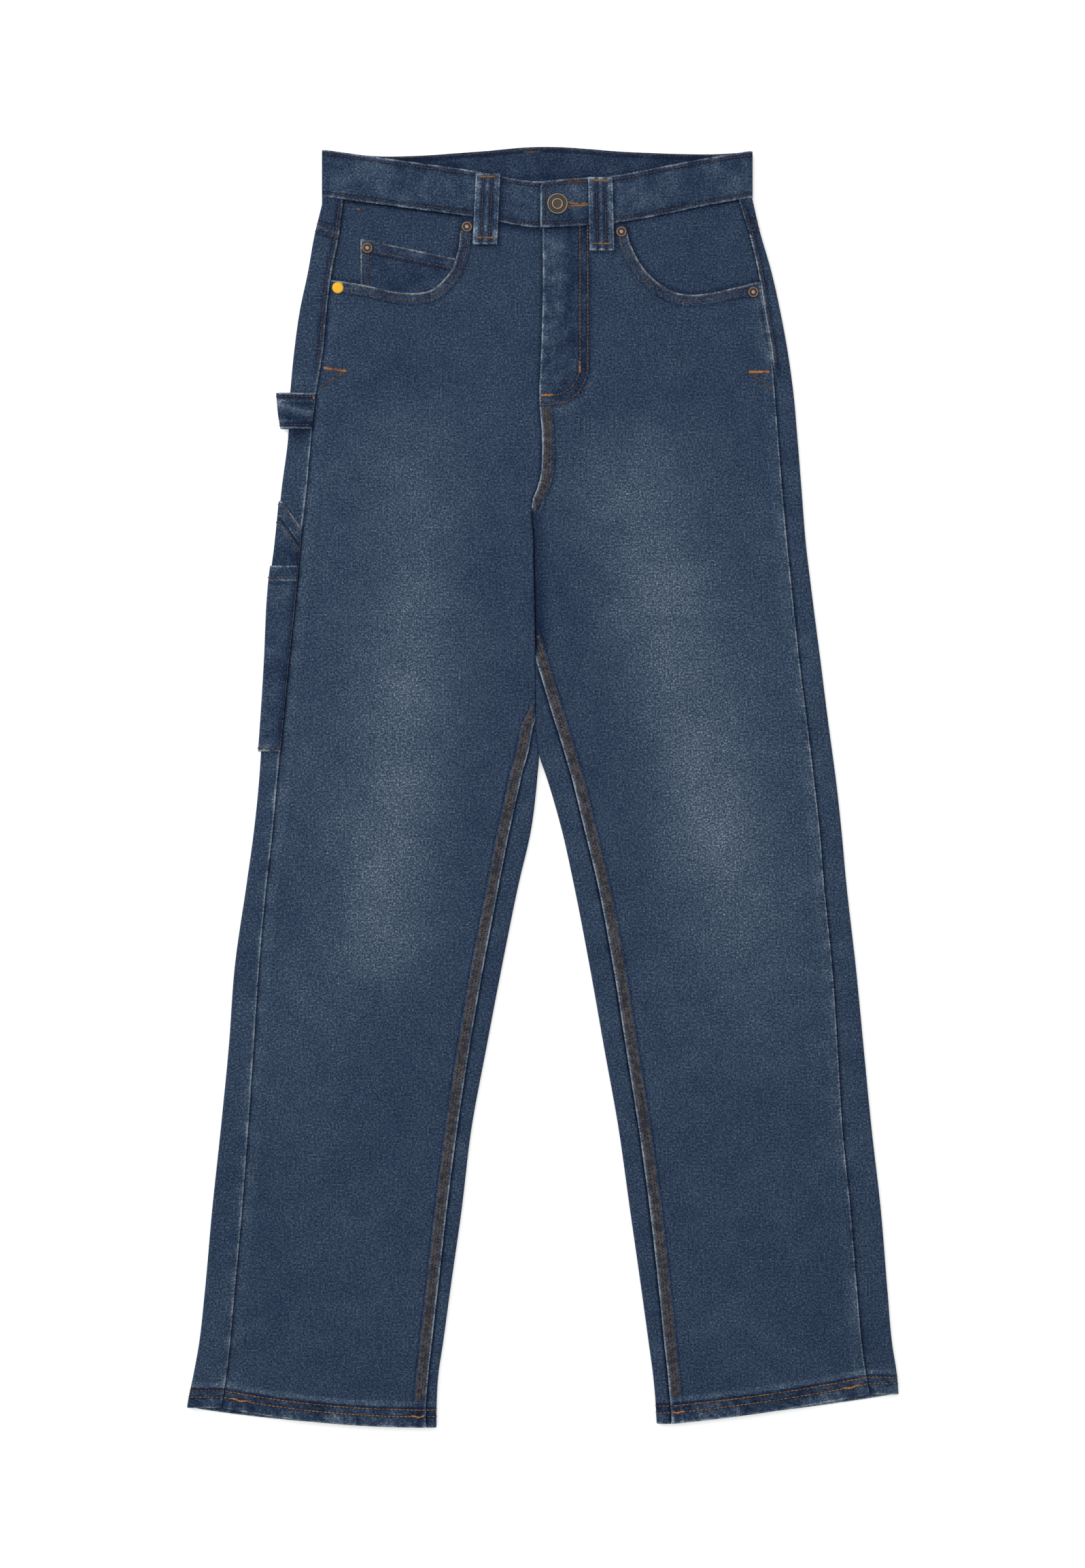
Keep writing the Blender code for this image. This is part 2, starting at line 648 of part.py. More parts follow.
def turned(name, profile, place, colour, steps):
    """A turned piece of hardware: a profile of radius and height, from the top centre to the foot."""
    mesh = bpy.data.meshes.new(name)
    points = [(radius * MM, 0.0, height * MM) for radius, height in profile]
    mesh.from_pydata(points, [(i, i + 1) for i in range(len(points) - 1)], [])
    piece = finish_object(name, mesh, colour, 0.9, 0.4)
    piece.location = [value * MM for value in place]
    spin = piece.modifiers.new("turn", "SCREW")
    spin.steps = steps
    spin.render_steps = steps
    spin.use_merge_vertices = True
    spin.merge_threshold = 0.00001
    spin.use_normal_calculate = False
    return piece


BUTTON_PROFILE = (
    (0.0, 2.3), (3.3, 2.3), (3.7, 2.7), (4.6, 2.7), (5.0, 2.2), (7.3, 2.2), (7.8, 2.8),
    (BUTTON_RADIUS, 2.2), (BUTTON_RADIUS, 1.2), (7.6, 0.7), (4.5, 0.6), (4.5, 0.0), (0.0, 0.0),
)
RIVET_PROFILE = (
    (0.0, 1.3), (1.6, 1.2), (2.0, 0.8), (2.8, 0.8), (3.4, 1.1),
    (RIVET_RADIUS, 0.6), (RIVET_RADIUS, 0.0), (0.0, 0.0),
)

clear_scene()
bpy.context.scene.collection.children.link(bpy.data.collections.new(GARMENT))

for leg in (RIGHT, LEFT):
    cloth("back_" + leg["name"], [back_row(leg, y) for y in leg["back_rows"]], CLOTH, 1)
    cloth("yoke_" + leg["name"], [yoke_row(leg, share) for share in (0.0, 0.33, 0.67, 1.0)], CLOTH, 1)
    cloth("front_" + leg["name"], front_panel(leg), CLOTH, 1)
cloth("pocket_facing_right", facing_grid(RIGHT, 2 * LAYER), CLOTH, 1)
cloth("pocket_facing_left", facing_grid(LEFT, LAYER), CLOTH, 1)
cloth("coin_pocket", coin_pocket_grid(), CLOTH, 1)
cloth("waistband", waistband_grid(), BAND, 1)
for name, top_x, bottom_x, bottom_y in FRONT_LOOPS:
    cloth(name, front_loop_grid(RIGHT if top_x < 0 else LEFT, top_x, bottom_x, bottom_y), STRAP, 1)
for name, middle in BACK_LOOPS:
    cloth(name, back_loop_grid(middle), CLOTH, -1)
mouth = [MOUTH_AT_SEAM, (MOUTH_AT_SEAM + MOUTH_AT_FOLD) / 2] + [MOUTH_AT_FOLD] * 5
mouth += list(np.linspace(MOUTH_AT_FOLD, MOUTH_AT_BACK, 5)[1:])
cloth("tool_pocket_inner", pocket_patch(np.array(mouth), LAYER), CLOTH, 1)
cloth("tool_pocket_outer", pocket_patch(OUTER_POCKET_TOP, 2 * LAYER), CLOTH, 1)
cloth("hammer_loop", hammer_loop_grid(), STRAP, 1)

for name, x, y, drop, colour in RIVETS:
    height = float(front_surface(RIGHT if x < 0 else LEFT, x, y)) - drop + GAP
    turned(name, RIVET_PROFILE, (x, y, height), colour, RIVET_SIDES)
turned("button", BUTTON_PROFILE, (BUTTON_X, BUTTON_Y, FRONT_BAND_TOP + BAND + 2 * GAP), BRASS, BUTTON_SIDES)
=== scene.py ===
"""Carpenter pants laid flat with the front up: washed denim, brown and orange sewing, antiqued hardware.

Lengths in the tables are millimetres, as in the part's source, and become metres where a mesh is made.
X runs to the wearer's left, Y up to the waist, Z up from the floor.
"""
import math

import bpy
import numpy as np
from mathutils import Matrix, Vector


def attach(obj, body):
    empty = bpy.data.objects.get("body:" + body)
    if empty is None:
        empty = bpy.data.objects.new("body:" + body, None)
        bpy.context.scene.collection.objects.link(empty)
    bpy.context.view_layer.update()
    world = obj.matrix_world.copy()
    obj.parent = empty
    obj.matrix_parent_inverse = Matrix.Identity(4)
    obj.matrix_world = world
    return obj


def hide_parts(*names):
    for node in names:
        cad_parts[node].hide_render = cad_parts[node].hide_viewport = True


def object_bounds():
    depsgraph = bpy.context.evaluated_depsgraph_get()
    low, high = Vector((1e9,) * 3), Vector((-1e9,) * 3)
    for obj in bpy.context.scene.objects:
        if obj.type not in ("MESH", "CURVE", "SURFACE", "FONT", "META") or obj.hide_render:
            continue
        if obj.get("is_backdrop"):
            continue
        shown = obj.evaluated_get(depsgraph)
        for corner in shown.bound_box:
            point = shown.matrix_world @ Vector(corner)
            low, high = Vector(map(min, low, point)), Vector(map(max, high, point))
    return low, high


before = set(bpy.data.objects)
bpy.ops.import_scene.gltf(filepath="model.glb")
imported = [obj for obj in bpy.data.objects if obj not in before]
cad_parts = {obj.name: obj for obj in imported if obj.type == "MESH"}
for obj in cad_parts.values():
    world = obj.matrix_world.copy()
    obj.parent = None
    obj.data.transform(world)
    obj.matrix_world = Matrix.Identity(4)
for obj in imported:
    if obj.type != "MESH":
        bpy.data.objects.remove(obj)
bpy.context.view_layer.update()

# Floor, light and camera: a pale sheet just under the cloth, a large soft panel overhead with a weaker key
# from the upper left, and a camera that looks straight down on the garment, as the photograph does.
MM = 0.001
FLOOR_REACH = 6.0
FLOOR_DROP = 0.0008
FLOOR_SHADE = (0.94, 0.94, 0.94)
PHOTO_HEIGHT = 2306 * 0.553 * MM
CLOTH_LEVEL = 6.0 * MM
CAMERA_PLACE = (0.0, 2.5 * MM, 3.0)
SENSOR = 36.0


def add(name, data):
    thing = bpy.data.objects.new(name, data)
    bpy.context.scene.collection.objects.link(thing)
    return thing


def soft_light(name, place, size, power):
    """A square panel of light that faces the middle of the garment."""
    panel = bpy.data.lights.new(name, "AREA")
    panel.shape = "SQUARE"
    panel.size = size
    panel.energy = power
    lamp = add(name, panel)
    lamp.location = place
    lamp.rotation_euler = (-Vector(place)).to_track_quat("-Z", "Y").to_euler()


def plain_paint(name, colour, roughness, glow):
    material = bpy.data.materials.new(name)
    material.use_nodes = True
    shader = material.node_tree.nodes["Principled BSDF"]
    shader.inputs["Base Color"].default_value = (*colour, 1.0)
    shader.inputs["Roughness"].default_value = roughness
    shader.inputs["Emission Color"].default_value = (*colour, 1.0)
    shader.inputs["Emission Strength"].default_value = glow
    return material


floor_mesh = bpy.data.meshes.new("floor")
signs = [(-1, -1), (1, -1), (1, 1), (-1, 1)]
corners = [(x * FLOOR_REACH, y * FLOOR_REACH, -FLOOR_DROP) for x, y in signs]
floor_mesh.from_pydata(corners, [], [(0, 1, 2, 3)])
floor_mesh.materials.append(plain_paint("pale_floor", FLOOR_SHADE, roughness=0.9, glow=0.22))
add("floor", floor_mesh)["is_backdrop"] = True

soft_light("overhead", (0.0, 0.3, 3.4), size=2.6, power=62.0)
soft_light("key", (-2.2, 2.0, 1.9), size=1.9, power=50.0)
world = bpy.data.worlds.new("studio")
world.use_nodes = True
world.node_tree.nodes["Background"].inputs["Color"].default_value = (1.0, 1.0, 1.0, 1.0)
world.node_tree.nodes["Background"].inputs["Strength"].default_value = 0.5
bpy.context.scene.world = world
bpy.context.scene.view_settings.view_transform = "Standard"

lens = bpy.data.cameras.new("camera")
lens.sensor_width = SENSOR
lens.lens = SENSOR * (CAMERA_PLACE[2] - CLOTH_LEVEL) / PHOTO_HEIGHT
camera = add("camera", lens)
camera.location = CAMERA_PLACE
bpy.context.scene.camera = camera

# Back panels: two pieces of washed stretch denim that lie under the legs and wrap round both folds, up to the
# side seam and the inseam on top. Each hem is turned twice and sewn down with two rows of light brown thread.
CLOTH = 1.0
GAP = 0.3
LAYER = CLOTH + GAP
STRAP = 1.5
WAIST_TOP = 6.9
HEM_DEPTH = 16.0
HEM_RAISE = 0.6
YOKE_DIP = 47.0
FLAT_INNER = 12.0
FOLD_PART = 0.75
CROTCH_BACK = (222.5, 229.0)
CROTCH_FRONT = (229.0, 234.5)
CROTCH_SHIFT = 3.5
POCKET_REACH = 125.0
OUTER_POCKET_TOP = 180.0
MOUTH_AT_SEAM = 209.5
MOUTH_AT_FOLD = 232.5
MOUTH_AT_BACK = 256.0
HAMMER_BOTTOM = 291.5
HAMMER_TOP = 320.5
HAMMER_RETURN = 52.0
HEM_ROWS = (14.0, 8.7)
FAR = 1000.0

# y, outer fold x, side seam x, inseam x, inner fold x
RIGHT_LEG = np.array([
    (474.0, -179.5, -162.5, -7.0, -1.7),
    (449.5, -185.5, -165.5, -7.0, -1.7),
    (419.0, -191.0, -171.5, -7.0, -1.7),
    (388.5, -197.5, -175.5, -7.0, -1.7),
    (352.5, -202.5, -179.0, -7.0, -1.7),
    (319.5, -205.5, -184.5, -7.0, -1.7),
    (286.0, -207.0, -188.0, -7.0, -1.7),
    (242.0, -212.5, -192.0, -10.5, -4.0),
    (198.0, -217.0, -197.0, -13.5, -7.0),
    (164.5, -221.0, -200.0, -13.0, -6.5),
    (98.0, -224.5, -207.0, -11.0, -5.3),
    (50.5, -227.5, -211.5, -11.5, -5.2),
    (24.6, -229.4, -214.0, -15.2, -2.8),
    (9.5, -230.5, -215.5, -17.5, -4.0),
    (-35.5, -235.0, -219.5, -26.5, -9.4),
    (-79.0, -241.0, -224.5, -35.0, -19.4),
    (-145.0, -250.5, -230.5, -47.5, -32.8),
    (-211.5, -255.5, -235.0, -59.0, -45.5),
    (-278.0, -262.0, -239.5, -69.0, -57.8),
    (-344.0, -269.0, -244.5, -77.5, -65.8),
    (-410.5, -275.0, -250.5, -85.0, -75.2),
    (-455.0, -280.0, -254.5, -90.0, -81.3),
    (-477.0, -284.0, -257.0, -92.5, -84.6),
    (-505.0, -289.5, -261.5, -94.5, -86.2),
    (-521.0, -291.0, -263.5, -94.6, -86.3),
])
LEFT_LEG = np.array([
    (480.0, 170.5, 158.5, 1.0, -1.4),
    (452.0, 177.0, 167.5, 1.0, -1.4),
    (419.0, 186.5, 175.5, 1.0, -1.4),
    (385.5, 194.0, 181.0, 1.0, -1.4),
    (352.5, 200.0, 186.5, 1.0, -1.4),
    (319.5, 204.5, 189.5, 1.0, -1.4),
    (286.0, 207.5, 192.0, 1.0, -1.4),
    (242.0, 211.0, 195.5, 1.0, -3.4),
    (198.0, 214.5, 199.5, -0.2, -6.4),
    (164.5, 218.5, 203.0, 0.2, -5.9),
    (98.0, 227.0, 210.0, 3.0, -4.7),
    (50.5, 233.0, 216.0, 11.0, -4.6),
    (24.6, 236.5, 219.2, 18.8, -2.3),
    (9.5, 238.5, 221.0, 23.5, 2.8),
    (-35.5, 243.5, 226.0, 34.0, 15.8),
    (-79.0, 247.5, 229.5, 44.5, 25.4),
    (-145.0, 255.0, 236.0, 57.0, 38.2),
    (-211.5, 261.5, 240.5, 67.5, 50.0),
    (-278.0, 268.0, 244.5, 78.0, 61.9),
    (-344.0, 275.5, 251.0, 87.0, 71.2),
    (-410.5, 281.0, 256.5, 94.5, 80.7),
    (-455.0, 285.0, 260.5, 99.0, 86.8),
    (-477.0, 288.5, 263.5, 101.5, 89.8),
    (-494.0, 290.0, 266.5, 103.0, 91.5),
    (-518.0, 292.0, 268.5, 105.0, 92.9),
])
# The legs: sign of the side, y of the yoke's seam and of the hem at the outer fold, the hem's tilt and bow
RIGHT = {
    "name": "right", "side": -1, "table": RIGHT_LEG,
    "yoke_y": 450.0, "hem_y": -505.0, "tilt": -16.0, "bow": 4.0,
}
LEFT = {
    "name": "left", "side": 1, "table": LEFT_LEG,
    "yoke_y": 452.0, "hem_y": -494.0, "tilt": -24.0, "bow": 2.0,
}

# The washed fades down each leg: y, x of the middle, half width, strength
RIGHT_FADE = np.array([
    (330.0, -100.0, 56.0, 0.0), (258.0, -96.0, 50.0, 0.70), (180.0, -104.0, 44.0, 0.95),
    (98.0, -108.0, 42.0, 1.25), (30.0, -116.0, 40.0, 1.35), (-25.0, -122.0, 40.0, 1.45),
    (-75.0, -122.0, 42.0, 1.45), (-125.0, -130.0, 40.0, 1.25), (-165.0, -145.0, 44.0, 0.45),
    (-230.0, -168.0, 50.0, 0.0),
])
LEFT_FADE = np.array([
    (320.0, 62.0, 56.0, 0.0), (250.0, 68.0, 50.0, 0.95), (170.0, 92.0, 46.0, 1.50),
    (100.0, 112.0, 46.0, 1.40), (20.0, 130.0, 48.0, 1.30), (-50.0, 144.0, 50.0, 1.35),
    (-120.0, 142.0, 56.0, 0.70), (-220.0, 130.0, 60.0, 0.1), (-300.0, 110.0, 60.0, 0.1),
    (-360.0, 130.0, 60.0, 0.0),
])
# Soft creases pressed into the legs: x and y of the middle, degrees of the run, half length and width, height
CREASES = (
    (101.0, 136.0, 3.0, 58.0, 2.6, -0.45),
    (96.0, 142.0, 1.0, 50.0, 4.0, 0.25),
    (136.0, 76.0, -9.0, 22.0, 2.2, -0.35),
    (163.0, -22.0, -6.0, 18.0, 2.2, -0.3),
    (113.0, -207.0, 1.0, 62.0, 3.4, -0.3),
    (-135.0, -205.0, -3.0, 54.0, 3.6, -0.28),
    (-118.0, 128.0, 3.0, 40.0, 3.2, -0.22),
    (-60.0, 206.0, 24.0, 48.0, 7.0, -0.5),
    (-46.0, 176.0, 31.0, 44.0, 8.0, -0.45),
    (46.0, 212.0, -22.0, 46.0, 7.0, -0.5),
    (38.0, 178.0, -34.0, 44.0, 8.0, -0.55),
    (18.0, 150.0, -66.0, 46.0, 8.0, -0.6),
    (-120.0, 330.0, 12.0, 46.0, 9.0, -0.4),
    (122.0, 322.0, -10.0, 46.0, 9.0, -0.4),
    (-96.0, 296.0, 8.0, 52.0, 10.0, 0.35),
    (92.0, 286.0, -12.0, 56.0, 10.0, 0.35),
    (-190.0, -330.0, 78.0, 70.0, 11.0, 0.4),
    (-214.0, -420.0, 83.0, 60.0, 9.0, -0.4),
    (196.0, -350.0, -80.0, 74.0, 11.0, 0.4),
    (222.0, -430.0, -84.0, 52.0, 9.0, -0.35),
    (-140.0, -440.0, 88.0, 50.0, 14.0, 0.35),
    (150.0, -430.0, -88.0, 54.0, 14.0, 0.3),
)


def soft_step(value, low, high):
    """Smooth rise from 0 at low to 1 at high: three squares less two cubes of the share."""
    share = np.clip((np.asarray(value, float) - low) / (high - low), 0.0, 1.0)
    return share * share * (3.0 - 2.0 * share)


def fall(value, low, high):
    """Smooth fall from 1 at low to 0 at high."""
    return 1.0 - soft_step(value, low, high)


def bell(value, width, middle=0.0):
    """A bell: e to minus the square of the distance from the middle, in widths."""
    return np.exp(-(((value - middle) / width) ** 2))


def along(table, column, place):
    """A column of a table at a place in its first column, on a cubic curve through the rows."""
    rows = table[np.argsort(table[:, 0])]
    stops = rows[:, 0]
    value = rows[:, column]
    slope = np.gradient(value, stops)
    place = np.clip(place, stops[0], stops[-1])
    i = np.clip(np.searchsorted(stops, place) - 1, 0, len(stops) - 2)
    span = stops[i + 1] - stops[i]
    t = (place - stops[i]) / span
    start = (1 + 2 * t) * (1 - t) ** 2 * value[i] + t * (1 - t) ** 2 * span * slope[i]
    end = t * t * (3 - 2 * t) * value[i + 1] + t * t * (t - 1) * span * slope[i + 1]
    return start + end


def run_along(points):
    """Distance run along a line of points."""
    steps = np.linalg.norm(np.diff(points, axis=0), axis=1)
    return np.concatenate([[0.0], np.cumsum(steps)])


def at_runs(table, run, stops):
    """Every column of a table at stops along a run, straight between its rows."""
    return np.stack([np.interp(stops, run, column) for column in table.T], axis=1)


def spots(*parts):
    """Points from their coordinates."""
    return np.stack(np.broadcast_arrays(*parts), axis=-1)


def ripple(x, y, length, seed):
    """An uneven wave from -1 to 1: the mean of three sines of unlike directions, each bent by the last."""
    turn = 2 * math.pi / length
    a = np.sin((x * 0.9 + y * 0.44) * turn + seed)
    b = np.sin((y * 0.93 - x * 0.37) * turn * 1.37 + seed * 2.3 + 0.8 * a)
    c = np.sin((x * 0.6 - y * 0.8) * turn * 0.73 + seed * 4.1 + 0.6 * b)
    return (a + b + c) / 3.0


def creased(x, y):
    """The lie of the cloth: slow waves, and each crease as a bell across its run that fades along it."""
    height = 0.22 * ripple(x, y, 130.0, 3.0) + 0.10 * ripple(x, y, 46.0, 5.0)
    for middle_x, middle_y, run, half_length, half_width, rise in CREASES:
        c = math.cos(math.radians(run))
        s = math.sin(math.radians(run))
        far = (x - middle_x) * c + (y - middle_y) * s
        off = (y - middle_y) * c - (x - middle_x) * s + 1.5 * np.sin(far / 13.0)
        height = height + rise * np.exp(-((off / half_width) ** 2) - (far / half_length) ** 2 * 1.6)
    return height


def faded(x, y):
    """How far the wash has faded the cloth: a bell across each leg round a line that leans outwards."""
    total = 0.0
    for table in (RIGHT_FADE, LEFT_FADE):
        middle, half, strength = (np.interp(y, table[::-1, 0], table[::-1, k]) for k in (1, 2, 3))
        total = total + strength * bell(x, half, middle)
    beside = soft_step(np.abs(x), 110.0, 195.0) * soft_step(y, -330.0, -150.0) * fall(y, 190.0, 320.0)
    return total * (1.0 + 0.2 * ripple(x, y, 90.0, 7.0)) + 0.30 * beside


# The inseams come out from under the inner folds some way below the crotch: y and x of the seam there. Above
# it the front panel covers the fold.
RIGHT["emerge"] = np.array([
    (-35.5, -26.5), (9.5, -16.5), (30.7, -10.6), (50.6, -7.2), (60.0, -2.5), (70.0, 2.4),
])
LEFT["emerge"] = np.array([
    (-35.5, 34.0), (4.1, 24.4), (33.5, 15.8), (63.3, 6.4), (101.5, -5.0), (129.6, -13.5),
])
HIDDEN_SLOPE = 0.45


def seam_path(leg, y):
    """X of the inseam, also where it runs on under the inner fold."""
    emerge = leg["emerge"]
    shown = np.where(y > emerge[0, 0], np.interp(y, emerge[:, 0], emerge[:, 1]), along(leg["table"], 3, y))
    return shown - leg["side"] * HIDDEN_SLOPE * np.maximum(y - emerge[-1, 0], 0.0)


def inner_fold(leg, y):
    """X of the inner fold. The front panels draw close together there, the right leg just over the left."""
    lean = 0.1 if leg is RIGHT else -0.8
    return along(leg["table"], 4, y) - CROTCH_SHIFT * soft_step(y, 196.0, CROTCH_FRONT[0]) + lean


def covered(leg, y):
    """1 where the front panel covers the inner fold, 0 below the place where the inseam comes out on top."""
    return soft_step(leg["side"] * (inner_fold(leg, y) - seam_path(leg, y)), 0.0, 3.0)


def inseam_x(leg, y):
    """X of a front panel's inner edge below the crotch: the inseam, or the fold that hides it."""
    side = leg["side"]
    return side * np.maximum(side * (seam_path(leg, y) + side * GAP), side * inner_fold(leg, y))


def top_height(y):
    """Height of the upper layer at the folds, thick at the waist and thin down the leg."""
    return 5.0 + (WAIST_TOP - 5.0) * soft_step(y, 300.0, 470.0)


def back_lift(leg, inward, y):
    """Height of the back's underside over the belt loops, tool pockets and strap that lie under it."""
    lift = LAYER * soft_step(y, 385.0, 455.0) + np.zeros_like(inward)
    if leg is LEFT:
        return lift
    inside = fall(inward, POCKET_REACH + 2.0, POCKET_REACH + 17.0)
    over_bottom = soft_step(y, 14.0, 26.0)
    inner = over_bottom * fall(y, MOUTH_AT_BACK + 3.0, MOUTH_AT_BACK + 11.0)
    outer = over_bottom * fall(y, OUTER_POCKET_TOP + 2.5, OUTER_POCKET_TOP + 10.5)
    strap = soft_step(y, HAMMER_BOTTOM - 11.0, HAMMER_BOTTOM - 2.5)
    strap = strap * fall(y, HAMMER_TOP + 2.5, HAMMER_TOP + 9.5)
    near = fall(inward, HAMMER_RETURN + 10.0, 95.0)
    return lift + inside * LAYER * (inner + outer) + near * strap * (STRAP + GAP)


def hem_share(leg, row_y):
    """How far a row is tilted and bowed to the line of the hem."""
    return fall(row_y, leg["hem_y"], -330.0)


def hem_drop(leg, share, row_y):
    """How far the tilt and the bow of the hem move a row, at a share of the way across the leg."""
    return hem_share(leg, row_y) * (leg["tilt"] * share - leg["bow"] * 4 * share * (1 - share))


def hem_band(leg, row_y):
    """1 on the turned hem, 0 above it."""
    edge = leg["hem_y"] + HEM_DEPTH
    return fall(row_y, edge - 0.8, edge + 1.5)


def hem_roping(leg, x, y, row_y):
    """Puckers of a chain stitched hem: a slanting sine, highest half way down the hem and uneven along it."""
    down = np.clip((leg["hem_y"] + HEM_DEPTH - row_y) / HEM_DEPTH, 0.0, 1.0)
    slant = (x + (row_y - leg["hem_y"]) * 1.1) * 2 * math.pi / 11.0 + 1.6 * ripple(x, y, 41.0, 2.0)
    size = 0.30 + 0.14 * ripple(x, y, 70.0, 9.0)
    return hem_band(leg, row_y) * size * np.sin(slant) * np.sin(down * math.pi) ** 0.8


def leg_point(leg, place, y, row_y, out):
    """Points down one column of a back panel's outer surface, moved out by a length. A place is a stretch and
    the position on it: the strip on top, the outer fold, the underside, the inner fold with its strip on top.
    Folds are half circles. Above the crotch the inner stretch lies flat beside the centre back."""
    stretch, value = place
    table = leg["table"]
    outer = along(table, 1, y)
    width = np.abs(along(table, 4, y) - outer)
    high = top_height(y) + HEM_RAISE * hem_band(leg, row_y)
    low = back_lift(leg, np.zeros_like(y), y)
    radius = (high - low) / 2
    flat = np.clip((row_y - CROTCH_BACK[0]) / (CROTCH_BACK[1] - CROTCH_BACK[0]), 0.0, 1.0)
    wrap_end = width - high / 2
    flat_end = wrap_end * (1 - flat) + (width - FLAT_INNER) * flat
    if stretch == "strip":
        seam = np.abs(along(table, 2, y) - outer)
        inward = seam + (radius - seam) * value
        height = high + out
    elif stretch == "fold":
        inward = radius - (radius + out) * math.sin(value)
        height = low + radius + (radius + out) * math.cos(value)
    elif stretch == "under":
        inward = np.full_like(y, value)
        height = back_lift(leg, inward, y) - out
    elif stretch == "spare":
        start = POCKET_REACH + 17.0
        inward = start + (flat_end - start) * value
        height = back_lift(leg, inward, y) - out
    else:
        if value <= FOLD_PART:
            angle = math.pi * value / FOLD_PART
            wrapped = wrap_end + (high / 2 + out) * math.sin(angle)
            height = high / 2 - (high / 2 + out) * math.cos(angle)
        else:
            shown = np.maximum(leg["side"] * (inseam_x(leg, y) - along(table, 4, y)), 0.0)
            inseam = np.minimum(width - shown + GAP, wrap_end - 0.4)
            wrapped = wrap_end + (inseam - wrap_end) * (value - FOLD_PART) / (1 - FOLD_PART)
            height = high + out
        inward = wrapped * (1 - flat) + (width - FLAT_INNER + (FLAT_INNER - GAP / 2) * value) * flat
        height = height * (1 - flat) + (back_lift(leg, inward, y) - out) * flat
    return spots(outer - leg["side"] * inward, y, height)


STRIP = [("strip", share) for share in np.linspace(0.0, 1.0, 15)[:-1]]
FOLD = [("fold", angle) for angle in np.linspace(0.0, math.pi, 10)]
UNDER_STOPS = (12.0, 21.0, 30.0, 40.0, 50.0, 61.0, 72.0, 83.0, 95.0, 111.0, 127.0, 132.0, 137.0, 142.0)
UNDER = [("under", stop) for stop in UNDER_STOPS]
SPARE = [("spare", share) for share in np.linspace(0.0, 1.0, 7)[1:-1]]
INNER = [("inner", share) for share in np.linspace(0.0, FOLD_PART, 10)]
INNER += [("inner", share) for share in np.linspace(FOLD_PART, 1.0, 11)[1:]]
BACK_PLACES = STRIP + FOLD + UNDER + SPARE + INNER
# Number of each column, counted from the first of the inner stretch
FROM_INNER = np.arange(len(BACK_PLACES)) - (len(BACK_PLACES) - len(INNER))


def upturned(place):
    """How far a column of the back panel faces up: 1 on top, 0 from half way round a fold."""
    stretch, value = place
    if stretch == "strip":
        return 1.0
    if stretch == "fold":
        return max(0.0, math.cos(value))
    if stretch == "inner":
        return max(0.0, -math.cos(math.pi * min(1.0, value / FOLD_PART)))
    return 0.0


BACK_UP = np.array([upturned(place) for place in BACK_PLACES])


def share_across(leg, place, row_y):
    """How far across the leg a column lies at each row, from 0 at the outer fold to 1 at the inner fold."""
    x = leg_point(leg, place, row_y, row_y, 0.0)[:, 0]
    outer = along(leg["table"], 1, row_y)
    inner = along(leg["table"], 4, row_y)
    share = np.clip((x - outer) / (inner - outer), 0.0, 1.0)
    if place[0] in ("strip", "fold"):
        return share * soft_step(row_y, 400.0, 440.0)
    if place[0] == "inner":
        wrapped = 1.0 - np.clip((row_y - CROTCH_BACK[0]) / (CROTCH_BACK[1] - CROTCH_BACK[0]), 0.0, 1.0)
        return share + (1.0 - share) * wrapped
    return share


def back_points(leg, place, row_y, out=0.0):
    """One column of a back panel: its rows dip to the yoke's point at the centre and tilt with the hem."""
    share = share_across(leg, place, row_y)
    dip = YOKE_DIP * soft_step(row_y, 300.0, leg["yoke_y"])
    bow = leg["bow"] * hem_share(leg, row_y) * 4 * share * (1 - share)
    y = row_y + (leg["tilt"] * hem_share(leg, row_y) - dip) * share - bow
    return leg_point(leg, place, y, row_y, out)


def rows_down(leg, start, step):
    """Levels down a leg, evenly spaced, and close together in the hem."""
    edge = leg["hem_y"] + HEM_DEPTH
    added = [start - 1.5, *CROTCH_BACK, edge + 1.5, edge - 0.8]
    upper = np.append(np.arange(start, edge + 3.5, -step), added)
    return np.unique(np.append(upper, np.linspace(edge - 2.4, leg["hem_y"], 9)))[::-1]


def length_along(grid, axis):
    """Distance run from the first row or column of a grid of points."""
    steps = np.linalg.norm(np.diff(grid, axis=axis), axis=2)
    first = np.zeros_like(np.take(grid[..., 0], [0], axis=axis))
    return np.concatenate([first, np.cumsum(steps, axis=axis)], axis=axis)


def surface_mesh(name, points, faces, smooth=True):
    """A mesh from arrays of points in metres and of four-sided faces."""
    mesh = bpy.data.meshes.new(name)
    mesh.vertices.add(len(points))
    mesh.vertices.foreach_set("co", points.astype(np.float32).ravel())
    mesh.loops.add(faces.size)
    mesh.loops.foreach_set("vertex_index", faces.astype(np.int32).ravel())
    mesh.polygons.add(len(faces))
    mesh.polygons.foreach_set("loop_start", np.arange(0, faces.size, 4, dtype=np.int32))
    mesh.update(calc_edges=True)
    mesh.polygons.foreach_set("use_smooth", np.full(len(faces), smooth))
    return mesh


def mark_points(mesh, key, value):
    """A named number on every point of a mesh."""
    attribute = mesh.attributes.new(key, "FLOAT", "POINT")
    attribute.data.foreach_set("value", value.astype(np.float32).ravel())


EDGES = ("rim", "inner", "low", "top")
FINISH = ("fade", "sewn", "shadow", "worn")


